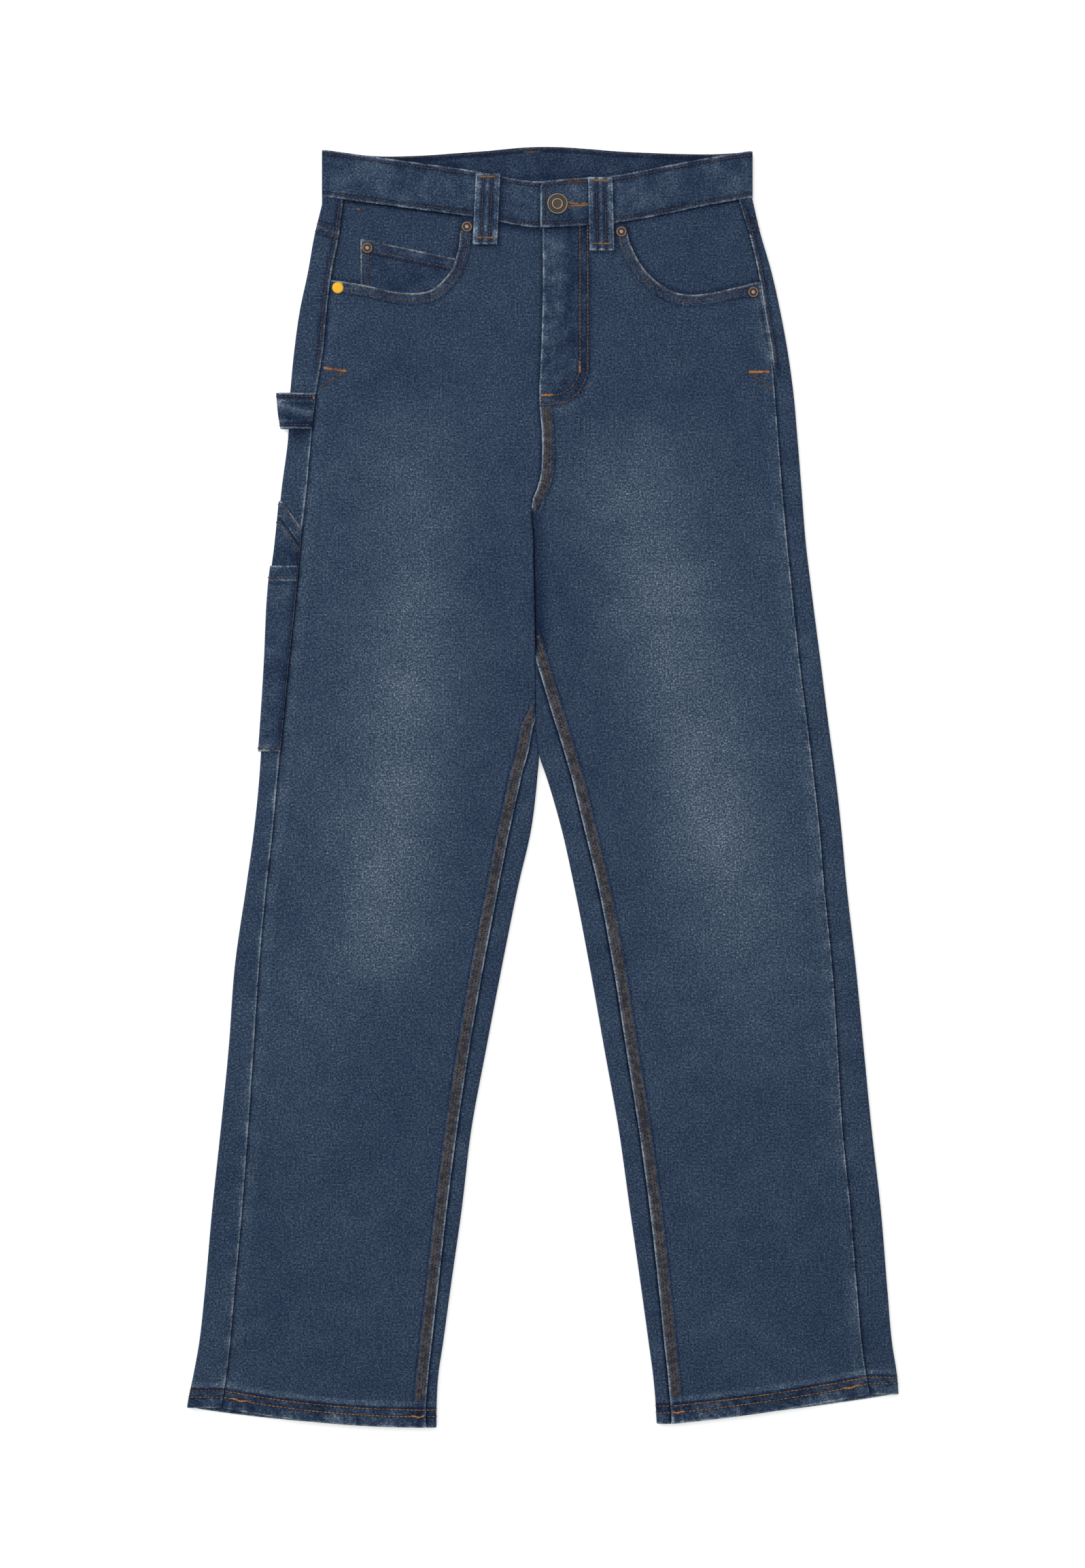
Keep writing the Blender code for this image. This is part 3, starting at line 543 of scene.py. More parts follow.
def cloth_shell(name, grid, thickness, finish, outer_side=1):
    """A shell of cloth through a grid of points, whose outer side looks up or down at its first corner. The
    finish gives, in millimetres, the distance to the rubbed rim and to the darker or lighter lines beside
    each edge, and the shares of fade, sewing, painted shadow, and wear with painted highlight. The warp runs
    down Y; the map across it is the point's X, or for a piece that wraps round the garment its length of
    cloth."""
    grid = np.asarray(grid, float)
    finish = {"across": grid[..., 0], **finish}
    finish = {key: np.broadcast_to(value, grid.shape[:2]) for key, value in finish.items()}
    if np.cross(grid[1, 0] - grid[0, 0], grid[0, 1] - grid[0, 0])[2] * outer_side < 0:
        grid = grid[:, ::-1]
        finish = {key: value[:, ::-1] for key, value in finish.items()}
    rows, columns = grid.shape[:2]
    corner = np.arange(rows * columns).reshape(rows, columns)
    faces = spots(corner[:-1, :-1], corner[1:, :-1], corner[1:, 1:], corner[:-1, 1:]).reshape(-1, 4)
    mesh = surface_mesh(name, grid.reshape(-1, 3) * MM, faces)
    grain = spots(finish["across"], grid[..., 1]).reshape(-1, 2)
    layer = mesh.uv_layers.new(name="grain")
    layer.data.foreach_set("uv", (grain[faces.ravel()] * MM).astype(np.float32).ravel())
    for key in EDGES + FINISH:
        value = finish.get(key, FAR if key in EDGES else 0.0) * (MM if key in EDGES else 1.0)
        mark_points(mesh, key, np.broadcast_to(value, (rows, columns)))
    piece = add(name, mesh)
    wall = piece.modifiers.new("wall", "SOLIDIFY")
    wall.thickness = thickness * MM
    wall.offset = -1.0
    return piece


def cut_area(grid):
    """Area of a grid of points in square metres: the sum of its cells."""
    down = grid[1:, :-1] - grid[:-1, :-1]
    across = grid[:-1, 1:] - grid[:-1, :-1]
    return float(np.linalg.norm(np.cross(down, across), axis=-1).sum()) * MM * MM


class Socket:
    """A value in a material. Sums and products of it add Math nodes."""

    def __init__(self, paint, end):
        self.paint = paint
        self.end = end

    def math(self, operation, *others):
        return self.paint.node("ShaderNodeMath", {"operation": operation}, [self, *others])

    def __add__(self, other):
        return self.math("ADD", other)

    def __sub__(self, other):
        return self.math("SUBTRACT", other)

    def __rsub__(self, other):
        return self.math("MULTIPLY", -1.0) + other

    def __mul__(self, other):
        return self.math("MULTIPLY", other)

    __radd__ = __add__
    __rmul__ = __mul__

    def step(self, low, high):
        """0 at low and 1 at high, smooth between; low may be the larger."""
        if low > high:
            return 1.0 - self.step(high, low)
        values = [self, low, high, 0.0, 1.0]
        return self.paint.node("ShaderNodeMapRange", {"interpolation_type": "SMOOTHSTEP"}, values)


class Paint:
    """A material on a Principled shader, and the one method that makes any node in it."""

    def __init__(self, name, roughness, metallic=0.0, specular=0.3):
        self.material = bpy.data.materials.new(name)
        self.material.use_nodes = True
        self.tree = self.material.node_tree
        self.shader = self.tree.nodes["Principled BSDF"]
        self.shader.inputs["Roughness"].default_value = roughness
        self.shader.inputs["Metallic"].default_value = metallic
        self.shader.inputs["Specular IOR Level"].default_value = specular

    def node(self, kind, settings=None, values=(), output=0):
        """A node of a kind: its settings first, then its sockets by number or name, as links or constants."""
        made = self.tree.nodes.new(kind)
        for key, value in (settings or {}).items():
            if key == "stops":
                elements = made.color_ramp.elements
                for _ in range(len(value) - len(elements)):
                    elements.new(0.5)
                for element, (place, colour) in zip(elements, value):
                    element.position = place
                    element.color = (*colour, 1.0)
            else:
                setattr(made, key, value)
        for key, value in values.items() if isinstance(values, dict) else enumerate(values):
            if isinstance(value, Socket):
                self.tree.links.new(value.end, made.inputs[key])
            elif made.inputs[key].type == "RGBA":
                made.inputs[key].default_value = (*value, 1.0)
            else:
                made.inputs[key].default_value = value
        return Socket(self, made.outputs[output])

    def field(self, name):
        return self.node("ShaderNodeAttribute", {"attribute_name": name}, output="Fac")

    def place(self, scale, turn=0.0, source="Object"):
        """Object coordinates, or the grain map along the cloth, at a scale and turned about Z."""
        if source == "grain":
            spot = self.node("ShaderNodeUVMap", {"uv_map": "grain"})
        else:
            spot = self.node("ShaderNodeTexCoord", output=source)
        values = {"Vector": spot, "Scale": scale, "Rotation": (0.0, 0.0, turn)}
        return self.node("ShaderNodeMapping", {}, values)

    def noise(self, spot, scale, detail=2.0, rough=0.5):
        values = {"Vector": spot, "Scale": scale, "Detail": detail, "Roughness": rough}
        return self.node("ShaderNodeTexNoise", {}, values)

    def mix(self, factor, first, second):
        return self.node("ShaderNodeMix", {"data_type": "RGBA"}, {0: factor, 6: first, 7: second}, 2)

    def feed(self, **sockets):
        for key, value in sockets.items():
            self.tree.links.new(value.end, self.shader.inputs[key.replace("_", " ")])

    def bump(self, height, strength, distance):
        values = {"Strength": strength, "Distance": distance, "Height": height}
        self.feed(Normal=self.node("ShaderNodeBump", {}, values))


# Shades of the wash, from a crease that has kept its dye to an edge worn white
INDIGO = (0.0030, 0.0090, 0.0290)
WASHED = (0.0190, 0.0370, 0.0740)
FADED = (0.0690, 0.0980, 0.1430)
WORN = (0.2500, 0.3000, 0.3500)
# Scales across the cloth and along its warp: metres, single threads, slubs down the warp and along the weft
EVEN = (1.0, 1.0, 1.0)
FINE = (1000.0, 1000.0, 1.0)
DOWN_WARP = (1000.0, 130.0, 1.0)
ALONG_WEFT = (230.0, 1000.0, 1.0)
TWILL_TURN = 0.62


def denim(name, level=0.0, rim=0.6, rim_width=1.3, lines=()):
    """Washed stretch denim: twill of blue warp over pale weft, as speckle and slubs along the grain, with
    slow mottling, rubbed rims, and lines beside edges: the darker ones are painted shade and kept dye in
    the grooves, the lighter ones wear. A line is an edge's name, the distance from it in millimetres, its
    half width and how much lighter or darker it is. The shadow mark is painted shadow, laid on faces that
    look up. The level shifts the whole shade."""
    paint = Paint(name, roughness=0.85, specular=0.12)
    speckle = paint.noise(paint.place(FINE, source="grain"), 0.66, 3.0, 0.85)
    slub = paint.noise(paint.place(DOWN_WARP, source="grain"), 0.5, 3.0, 0.65)
    weft = paint.noise(paint.place(ALONG_WEFT, source="grain"), 0.5, 2.0, 0.6)
    mottle = paint.noise(paint.place(EVEN), 55.0, 4.0, 0.62)
    cloud = paint.noise(paint.place(EVEN), 12.0, 3.0, 0.5)
    patch = paint.noise(paint.place(EVEN), 130.0, 3.0, 0.6)
    fade = paint.field("fade")
    shade = 0.315 + level + (speckle - 0.5) * (2.4 + fade * 0.3)
    shade = shade + (slub - 0.5) * 0.24 + (weft - 0.5) * 0.14
    # Fades, and the wear mark: rubbed wear that follows the relief, and on the hammer loop and the pleats
    # inside the waistband a painted highlight
    shade = shade + (mottle - 0.5) * 0.22 + (cloud - 0.5) * 0.08 + fade * 0.17 + paint.field("worn") * 0.15
    shade = shade + paint.field("sewn") * ((patch - 0.5) * 0.7 + (mottle - 0.5) * 0.9)
    edge = paint.field("rim")
    rub = edge.step(rim_width * MM, 0.2 * rim_width * MM) * (0.62 + patch.step(0.34, 0.60) * 0.50)
    halo = edge.step(7.0 * MM, 1.0 * MM) * mottle.step(0.42, 0.66)
    shade = shade + rub * rim + halo * 0.22 * rim
    for field, place, half, amount in lines:
        near = (paint.field(field) - place * MM).math("ABSOLUTE").step(half * MM, 0.2 * half * MM)
        shade = shade + near * (0.55 + patch.step(0.35, 0.62) * 0.6) * amount
    normal = paint.node("ShaderNodeNewGeometry", output="Normal")
    upward = paint.node("ShaderNodeSeparateXYZ", {}, [normal], "Z")
    shade = shade - paint.field("shadow") * upward.step(0.0, 0.5) * 0.30
    stops = [(0.0, INDIGO), (0.34, WASHED), (0.68, FADED), (1.0, WORN)]
    paint.feed(Base_Color=paint.node("ShaderNodeValToRGB", {"stops": stops}, [shade]))
    paint.feed(Roughness=0.78 + (speckle - 0.5) * 0.2)
    waves = {"Vector": paint.place(FINE, TWILL_TURN, "grain"), "Scale": 0.3, "Distortion": 0.8}
    twill = paint.node("ShaderNodeTexWave", {"bands_direction": "X"}, waves, "Fac")
    paint.bump(speckle * 0.7 + twill * 0.35 + slub * 0.5 + patch * 0.5, 0.5, 0.45 * MM)
    return paint.material


def dress(piece, material, *nodes, slot="denim"):
    """A finished piece takes its material, rides on the garment and stands for its solids."""
    piece.data.materials.append(material)
    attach(piece, "root")
    if nodes:
        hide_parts(*nodes)
    return piece


def thread(name, dark, light, share):
    """Spun polyester thread: dark and light plies, in patches as the wash has left them, with a fine lay."""
    paint = Paint(name, roughness=0.6, specular=0.35)
    washed = paint.noise(paint.place(EVEN), 260.0, 2.0, 0.6)
    ply = paint.noise(paint.place(EVEN), 1500.0, 1.0, 0.5)
    worn = (washed + (ply - 0.5) * 0.25).step(share - 0.12, share + 0.12)
    paint.feed(Base_Color=paint.mix(worn, dark, light))
    paint.bump(ply, 0.4, 0.15 * MM)
    return paint.material


BROWN_THREAD = thread("brown_thread", (0.022, 0.018, 0.024), (0.082, 0.049, 0.038), 0.50)
UMBER_THREAD = thread("umber_thread", (0.028, 0.024, 0.028), (0.098, 0.080, 0.074), 0.50)
RUST_THREAD = thread("rust_thread", (0.034, 0.024, 0.024), (0.125, 0.068, 0.038), 0.48)
HEM_THREAD = thread("hem_thread", (0.048, 0.030, 0.024), (0.200, 0.105, 0.048), 0.46)
ORANGE_THREAD = thread("orange_thread", (0.110, 0.046, 0.020), (0.400, 0.165, 0.045), 0.44)
STITCH_SIDES = 6
STITCH_ALONG = np.array([-1.0, -0.55, 0.55, 1.0])
STITCH_GIRTH = np.array([0.45, 1.0, 1.0, 0.45])
STITCH_GRIP = 0.4


def run_of(points, normals=(0.0, 0.0, 1.0), pitch=3.3, length=2.9, thick=0.85, across=0.0):
    """A run of stitches: the line it follows, the cloth's normals there, the pitch from stitch to stitch, and
    the length and thickness of one. A share across lays them across the line, leaning either way by it."""
    points = np.asarray(points, float)
    return points, np.broadcast_to(normals, points.shape), pitch, length, thick, across


def bartack(start, end, height, width=1.8):
    """A bartack: tight stitches across a short line, level at a height."""
    points = np.linspace((*start, height), (*end, height), 5)
    return run_of(points, pitch=0.42, length=width, thick=0.6, across=0.25)


def ring_faces(corner):
    """Faces of a tube from the numbers of its points, a row for each ring."""
    after = np.roll(corner, -1, axis=1)
    return spots(corner[:-1], corner[1:], after[1:], after[:-1]).reshape(-1, 4)


def sew(name, runs, material, seed=1):
    """All the stitches of some runs as one mesh. A stitch is a bowed capsule: rings of six points on a line
    that rises by a square from ends that dip into the cloth, closed by a pair of faces at each end."""
    chance = np.random.default_rng(seed)
    count = len(STITCH_ALONG)
    turn = np.arange(STITCH_SIDES) * 2 * math.pi / STITCH_SIDES
    stitches = []
    for points, normals, pitch, length, thick, across in runs:
        run = run_along(points)
        middle = np.arange(pitch / 2, max(run[-1] - pitch * 0.3, pitch * 0.6), pitch)
        start = at_runs(points, run, middle - STITCH_GRIP)
        end = at_runs(points, run, middle + STITCH_GRIP)
        up = at_runs(normals, run, middle)
        up /= np.linalg.norm(up, axis=1, keepdims=True)
        ahead = end - start
        ahead /= np.linalg.norm(ahead, axis=1, keepdims=True)
        beside = np.cross(up, ahead)
        if across:
            ahead, beside = beside + across * ahead * chance.choice([-1.0, 1.0], (len(middle), 1)), ahead
        ahead = ahead + beside * chance.normal(0.0, 0.05, (len(middle), 1))
        centre = (start + end) / 2 + beside * chance.normal(0.0, 0.07, (len(middle), 1))
        half = length / 2 * chance.uniform(0.9, 1.06, (len(middle), 1, 1, 1))
        line = STITCH_ALONG[None, :, None, None]
        girth = thick / 2 * STITCH_GIRTH[None, :, None, None]
        bow = thick * (0.30 - 0.55 * line ** 2)
        around = turn[None, None, :, None]
        a, b, c = (v[:, None, None, :] for v in (ahead, beside, up))
        stitches.append(centre[:, None, None, :] + a * line * half + b * girth * np.cos(around)
                        + c * (bow + girth * np.sin(around) * 0.8))
    points = np.concatenate(stitches)
    total = len(points)
    index = np.arange(count * STITCH_SIDES).reshape(count, STITCH_SIDES)
    first, last = index[0], index[-1]
    caps = np.array([first[[0, 1, 2, 3]], first[[0, 3, 4, 5]], last[[3, 2, 1, 0]], last[[5, 4, 3, 0]]])
    faces = np.concatenate([ring_faces(index), caps])[None] + (np.arange(total) * index.size)[:, None, None]
    piece = add(name, surface_mesh(name, points.reshape(-1, 3) * MM, faces.reshape(-1, 4)))
    return dress(piece, material, slot="thread")


TUCK = 1.4
TOPSTITCH_END = (330.0, 344.0)


def back_grid(leg):
    """A back panel as rows down the leg and columns round it, with its relief and its finish."""
    row_y = rows_down(leg, leg["yoke_y"], 4.2)
    grid = np.stack([back_points(leg, place, row_y) for place in BACK_PLACES], axis=1)
    rows = np.broadcast_to(row_y[:, None], grid.shape[:2])
    wrapped = fall(rows, *CROTCH_BACK)
    facing = BACK_UP * np.where(FROM_INNER >= 0, wrapped, 1.0)
    side = length_along(grid, 1)
    inner = side[:, -1:] - side
    x, y, z = np.moveaxis(grid, -1, 0)
    tucked = covered(leg, y) * wrapped * (FROM_INNER > 2)
    x += leg["side"] * TUCK * tucked
    if leg is LEFT:
        x -= 1.1 * soft_step(-x, -1.0, 4.0) * soft_step(y, 22.0, 44.0) * fall(y, 104.0, 124.0)
    z -= TUCK * tucked * (z > 2.5)
    seam = np.minimum(side, np.where(wrapped > 0.5, inner, FAR))
    fold = length_along(grid, 1)
    fold = fold[:, len(STRIP) + len(FOLD) // 2, None] - fold
    pucker = 0.26 * ripple(x * 0.4, y, 14.0, 1.0) * np.exp(-seam / 7.0) - 0.45 * bell(seam, 0.9)
    relief = facing * (pucker + hem_roping(leg, x, y, rows) + 0.5 * creased(x, y))
    z += relief
    z += (1.0 - facing) * np.where(z < 3.0, 0.15 * (1.0 + ripple(x, y, 60.0, 4.0)), 0.0)
    hip = soft_step(y, *TOPSTITCH_END)
    beside_seam = 0.9 * bell(side, 1.6) * (leg is LEFT) * (1.0 - hip)
    beside_row = hip * 0.8 * bell(side, 2.2, 3.6)
    under_strap = (leg is RIGHT) * 0.9 * bell(y, 7.0, HAMMER_BOTTOM - 2.5) * fall(side, 12.0, 22.0)
    finish = {
        "across": along(leg["table"], 1, y) - leg["side"] * fold,
        "rim": np.minimum(side if leg is RIGHT else side + 20.0 * (1.0 - hip), rows - leg["hem_y"]),
        "inner": np.where(wrapped > 0.5, inner, FAR),
        "low": rows - leg["hem_y"],
        "top": leg["yoke_y"] - rows,
        "shadow": np.maximum(beside_seam, beside_row) + under_strap,
        "fade": 0.35 * faded(x, y),
        "worn": np.clip(relief / 0.5, -1.0, 1.0) + 1.5 * (hip if leg is LEFT else 1.0) * bell(side, 1.1, 0.6),
        "sewn": 0.8 * hem_band(leg, rows) + 0.4 * np.exp(-seam / 4.0),
    }
    return grid, finish


# Lines along a hem: a lighter one over it, and darker ones of painted shade and kept dye at its upper
# edge, at both rows of thread and between them
HEM_LINES = (
    ("low", HEM_DEPTH + 2.6, 3.4, 0.18),
    ("low", HEM_DEPTH - 0.6, 1.5, -0.26),
    ("low", HEM_ROWS[0], 1.4, -0.26),
    ("low", HEM_ROWS[1], 1.5, -0.28),
    ("low", 11.4, 2.4, -0.06),
)
BACK_DENIM = denim("back_denim", level=0.01, rim=0.46, rim_width=1.7,
                   lines=[*HEM_LINES, ("inner", 0.0, 2.6, -0.3), ("top", 0.0, 1.2, -0.2)])
hem_runs = []
for leg in (RIGHT, LEFT):
    grid, finish = back_grid(leg)
    name = "back_" + leg["name"]
    panel = dress(cloth_shell(name + "_cloth", grid, CLOTH, finish), BACK_DENIM, name)
    cut_area(grid)
    for rise in HEM_ROWS:
        level = np.full(1, leg["hem_y"] + rise)
        line = np.array([back_points(leg, place, level)[0] for place in BACK_PLACES])
        normal = np.array([back_points(leg, place, level, 1.0)[0] for place in BACK_PLACES]) - line
        hem_runs.append(run_of(line, normal))
sew("hem_thread_back", hem_runs, HEM_THREAD, 3)

# Back yokes: a wedge over each back panel, sewn to it with two rows and to the waistband above. Their ends
# come round the outer folds and show beside the pocket openings.
BAND_WIDTH = 38.0
WAIST_ROOM = 0.2
# Front run of the waistband: x, y of its top edge, y of its lower edge
FRONT_BAND = np.array([
    (-176.5, 518.0, 480.0),
    (-115.0, 509.5, 471.5),
    (-55.0, 501.0, 463.5),
    (-2.0, 492.5, 454.8),
    (18.0, 494.0, 455.5),
    (57.0, 497.0, 458.5),
    (96.0, 504.3, 465.0),
    (129.0, 510.7, 472.0),
    (168.0, 517.0, 479.0),
])
# Back run of the waistband: x, y of its top edge
BACK_BAND = np.array([
    (-176.5, 518.0),
    (-141.0, 514.0),
    (-54.0, 517.0),
    (-5.5, 521.0),
    (77.0, 516.5),
    (147.0, 515.5),
    (168.0, 517.0),
])
BAND_FOOT = np.array([479.0])
YOKE_ROWS = (2.2, 8.2)


def back_waist(x):
    """Y of the lower edge of the waistband's back run."""
    return along(BACK_BAND, 1, x) - BAND_WIDTH


def yoke_points(leg, place, share_down, out=0.0):
    """One column of a yoke, from the waistband down to its seam with the back panel, at shares of the way."""
    level = np.array([leg["yoke_y"]])
    seam_y = leg["yoke_y"] - YOKE_DIP * share_across(leg, place, level) + 0.15
    guess_x = leg_point(leg, place, BAND_FOOT, BAND_FOOT, 0.0)[:, 0]
    top_y = back_waist(guess_x) - WAIST_ROOM
    if place[0] in ("strip", "fold"):
        top_y = np.minimum(top_y, along(FRONT_BAND, 2, guess_x) - WAIST_ROOM)
    y = top_y + (seam_y - top_y) * share_down
    return leg_point(leg, place, y, np.full_like(y, leg["yoke_y"]), out)


YOKE_LINES = (
    ("low", 10.8, 1.2, -0.25),
    ("low", YOKE_ROWS[0], 1.6, -0.26),
    ("low", YOKE_ROWS[1], 1.6, -0.26),
    ("low", 5.2, 1.6, 0.14),
)
YOKE_DENIM = denim("yoke_denim", level=-0.04, rim=0.32, rim_width=1.8, lines=YOKE_LINES)
yoke_runs = []
for leg in (RIGHT, LEFT):
    down = np.linspace(0.0, 1.0, 22)
    grid = np.stack([yoke_points(leg, place, down) for place in BACK_PLACES], axis=1)
    facing = BACK_UP * (FROM_INNER < 0)
    low = grid[..., 1] - grid[-1:, :, 1]
    side = length_along(grid, 1)
    pucker = 0.12 * ripple(grid[..., 0], grid[..., 1], 12.0, 2.0) - 0.35 * bell(low, 1.2)
    grid[..., 2] += facing * (pucker + 0.3 * fall(low, 9.5, 11.0) - 0.45 * bell(side, 0.9))
    finish = {"low": low, "rim": np.minimum(low, side), "sewn": 0.7 * fall(low, 9.0, 12.0),
              "worn": facing * pucker / 0.3, "shadow": 0.8 * bell(side, 2.2, 3.6)}
    name = "yoke_" + leg["name"]
    yoke = dress(cloth_shell(name + "_cloth", grid, CLOTH, finish), YOKE_DENIM, name)
    cut_area(grid)
    for rise in YOKE_ROWS:
        places = list(zip(BACK_PLACES, 1.0 - rise / (low[0, :, None] + 0.01)))
        line = np.array([yoke_points(leg, place, share)[0] for place, share in places])
        lifted = np.array([yoke_points(leg, place, share, 1.0)[0] for place, share in places])
        yoke_runs.append(run_of(line + (0.0, 0.0, 0.12), lifted - line))
sew("yoke_thread", yoke_runs, RUST_THREAD, 4)

# Tool pockets: two patches of the same denim laid one on the other over the right leg's side, from near the
# seam round the outer fold and under the leg. The inner one's mouth slants, the outer one's hem is straight.
POCKET_BOTTOM = 29.0
POCKET_HEM = 11.0
POCKET_PLACES = STRIP + FOLD + UNDER[:9] + [("under", 110.0), ("under", POCKET_REACH)]


def pocket_top(outer):
    """Y of a tool pocket's upper edge for each column: level, or rising round the fold and under the leg."""
    if outer:
        return np.full(len(POCKET_PLACES), OUTER_POCKET_TOP)
    strip = np.linspace(MOUTH_AT_SEAM, MOUTH_AT_FOLD, len(STRIP) + 1)[:-1]
    back = [stop for stretch, stop in POCKET_PLACES if stretch == "under"]
    under = MOUTH_AT_FOLD + (MOUTH_AT_BACK - MOUTH_AT_FOLD) * np.array(back) / POCKET_REACH
    return np.concatenate([strip, np.full(len(FOLD), MOUTH_AT_FOLD), under])


def pocket_points(y, out):
    """Points of a tool pocket at a y for each column, on the back panel's own surface moved out."""
    level = np.zeros(1)
    places = zip(POCKET_PLACES, y[:, None])
    row = np.array([leg_point(RIGHT, place, place_y, level, out)[0] for place, place_y in places])
    row[0, 0] -= GAP
    return row


POCKET_DENIM = denim("pocket_denim", level=-0.02, rim=0.48, rim_width=2.2,
                     lines=[("top", POCKET_HEM + 0.6, 1.0, 0.34), ("top", POCKET_HEM + 3.2, 2.2, -0.22)])
# name, whether it is the outer one, how far out it lies, length of its cut piece in metres
TOOL_POCKETS = (("tool_pocket_inner", False, LAYER, 0.232), ("tool_pocket_outer", True, 2 * LAYER, 0.155))
pocket_runs = []
for name, outer, out, length in TOOL_POCKETS:
    tops = pocket_top(outer)
    shares = np.linspace(0.0, 1.0, 48 if outer else 64)
    grid = np.array([pocket_points(tops + (POCKET_BOTTOM - tops) * share, out) for share in shares])
    top = tops[None, :] - grid[..., 1]
    low = grid[..., 1] - POCKET_BOTTOM
    facing = np.array([upturned(place) for place in POCKET_PLACES])
    hem = fall(top, POCKET_HEM, POCKET_HEM + 2.0)
    rim = np.minimum(top, low)
    by_seam = length_along(grid, 1)
    x, y = grid[..., 0], grid[..., 1]
    pucker = 0.30 * ripple(x, y * 0.5, 13.0, 3.0) * np.exp(-rim / 8.0) + 0.18 * ripple(x * 0.5, y, 24.0, 6.0)
    grid[..., 2] += facing * (0.45 * hem + pucker - 0.3 * bell(rim, 0.9))
    over_outer = 0.6 * (not outer) * bell(y, 7.0, OUTER_POCKET_TOP + 7.0)
    finish = {
        "top": top,
        "rim": rim,
        "sewn": 0.4 + 0.4 * hem,
        "fade": 0.15,
        "shadow": 0.7 * bell(by_seam, 3.2) * (top > POCKET_HEM) + over_outer,
        "worn": pucker / 0.35 + 1.6 * (not outer) * bell(top, 1.1, 19.4),
    }
    patch = dress(cloth_shell(name + "_cloth", grid, CLOTH, finish), POCKET_DENIM, name)
    cut_area(grid)
    drops = [POCKET_HEM - 1.5] if outer else [2.5, 17.0]
    for y in [tops - drop for drop in drops] + [np.full(len(tops), POCKET_BOTTOM + 2.8)]:
        line = pocket_points(y, out + 0.3)
        pocket_runs.append(run_of(line, pocket_points(y, out + 1.3) - line))
sew("tool_pocket_thread", pocket_runs, RUST_THREAD, 5)

# Hammer loop: a folded denim strap, sewn along both edges, that leaves the side seam, stands off the outer
# fold as an open loop, and comes back flat under the leg.
HAMMER_REACH = -217.0
HAMMER_SLANT = 3.0
HAMMER_HEIGHT = 9.0


def hammer_line(y, out=0.0):
    """Points along the strap at one y: the source's path through the seam, the arc and the return, eased."""
    reach = HAMMER_REACH + HAMMER_SLANT * (HAMMER_TOP - y) / (HAMMER_TOP - HAMMER_BOTTOM)
    seam = float(along(RIGHT_LEG, 2, y)) - GAP
    seated = float(top_height(y)) + GAP + STRAP
    radius = HAMMER_HEIGHT / 2
    fold = reach + radius
    path = [(seam, seated + 0.1), (seam - 7.0, seated + 0.3), (seam - 14.0, seated + 1.2)]
    path.append((fold + 3.0, HAMMER_HEIGHT - 0.3))
    angle = np.linspace(0.0, math.pi, 13)
    path += list(zip(fold - radius * np.sin(angle), radius + radius * np.cos(angle)))
    outer = float(along(RIGHT_LEG, 1, y))
    path = np.array(path + [(outer + 10.0, 0.0), (outer + 30.0, 0.0), (outer + HAMMER_RETURN, 0.0)])
    run = run_along(path)
    stops = np.linspace(0.0, run[-1], 90)
    x, z = at_runs(path, run, stops).T
    x[1:-1] = (x[:-2] + 2 * x[1:-1] + x[2:]) / 4
    z[1:-1] = (z[:-2] + 2 * z[1:-1] + z[2:]) / 4
    shown = fall(stops, 26.0, 34.0) * soft_step(stops, 3.0, 9.0)
    wave = 0.9 * np.sin((stops * 0.75 + (y - HAMMER_BOTTOM) * 0.55) * 2 * math.pi / 27.0)
    edge = min(y - HAMMER_BOTTOM, HAMMER_TOP - y)
    roll = -0.35 * bell(edge, 1.2) + 0.18 * bell(edge, 1.0, 1.7)
    slope = spots(np.gradient(z), -np.gradient(x))
    slope /= np.linalg.norm(slope, axis=1, keepdims=True)
    lift = (shown * (wave + roll) + out)[:, None] * slope
    return spots(x + lift[:, 0], y, z + lift[:, 1])


strap_y = np.linspace(HAMMER_BOTTOM, HAMMER_TOP, 25)
grid = np.array([hammer_line(y) for y in strap_y])
edge = np.minimum(strap_y - HAMMER_BOTTOM, HAMMER_TOP - strap_y)[:, None]
LOOP_LINES = (("top", 0.0, 2.0, -0.32), ("top", 3.6, 1.6, 0.22))
LOOP_DENIM = denim("loop_denim", level=-0.04, rim=0.48, rim_width=2.2, lines=LOOP_LINES)
x, y, z = np.moveaxis(grid, -1, 0)
# Outside the loop only: a painted highlight along a ridge that slants across the strap and round its bend,
# painted shadow under that ridge, and a patch of painted shadow by the seam
outside = soft_step(z, 3.0, 5.0)
ridge = y - 311.0 + 0.27 * (x + 214.6)
by_seam = bell(x, 6.0, -194.0) * bell(y, 5.0, 312.5)
finish = {
    "rim": edge,
    "top": np.abs(edge - 3.0),
    "sewn": 0.4,
    "worn": outside * (1.7 * bell(ridge, 2.6) + 1.2 * bell(x, 4.0, -214.0)),
    "shadow": outside * (by_seam + 0.8 * bell(ridge, 3.2, -8.5)),
}
strap = dress(cloth_shell("hammer_loop_strap", grid, STRAP, finish), LOOP_DENIM, "hammer_loop")
cut_area(grid)
strap_runs = []
for y in (HAMMER_BOTTOM + 3.0, HAMMER_TOP - 3.0):
    line = hammer_line(y, 0.05)
    strap_runs.append(run_of(line[2:-2], (hammer_line(y, 1.05) - line)[2:-2]))
sew("hammer_loop_thread", strap_runs, BROWN_THREAD, 6)
seam_x = float(along(RIGHT_LEG, 2, HAMMER_TOP))
sew("hammer_loop_bartack", [bartack((seam_x - 1.6, 318.0), (seam_x - 1.4, 314.8), 9.05)], HEM_THREAD, 7)

# Pocket facings and coin pocket: denim that shows inside the scooped openings of the front pockets. The coin
# pocket is a small patch on the wearer's right facing, with a hemmed slanting top.
CROWN = 0.8
FACING_TOP = 478.0
FACING_BOTTOM = 388.0
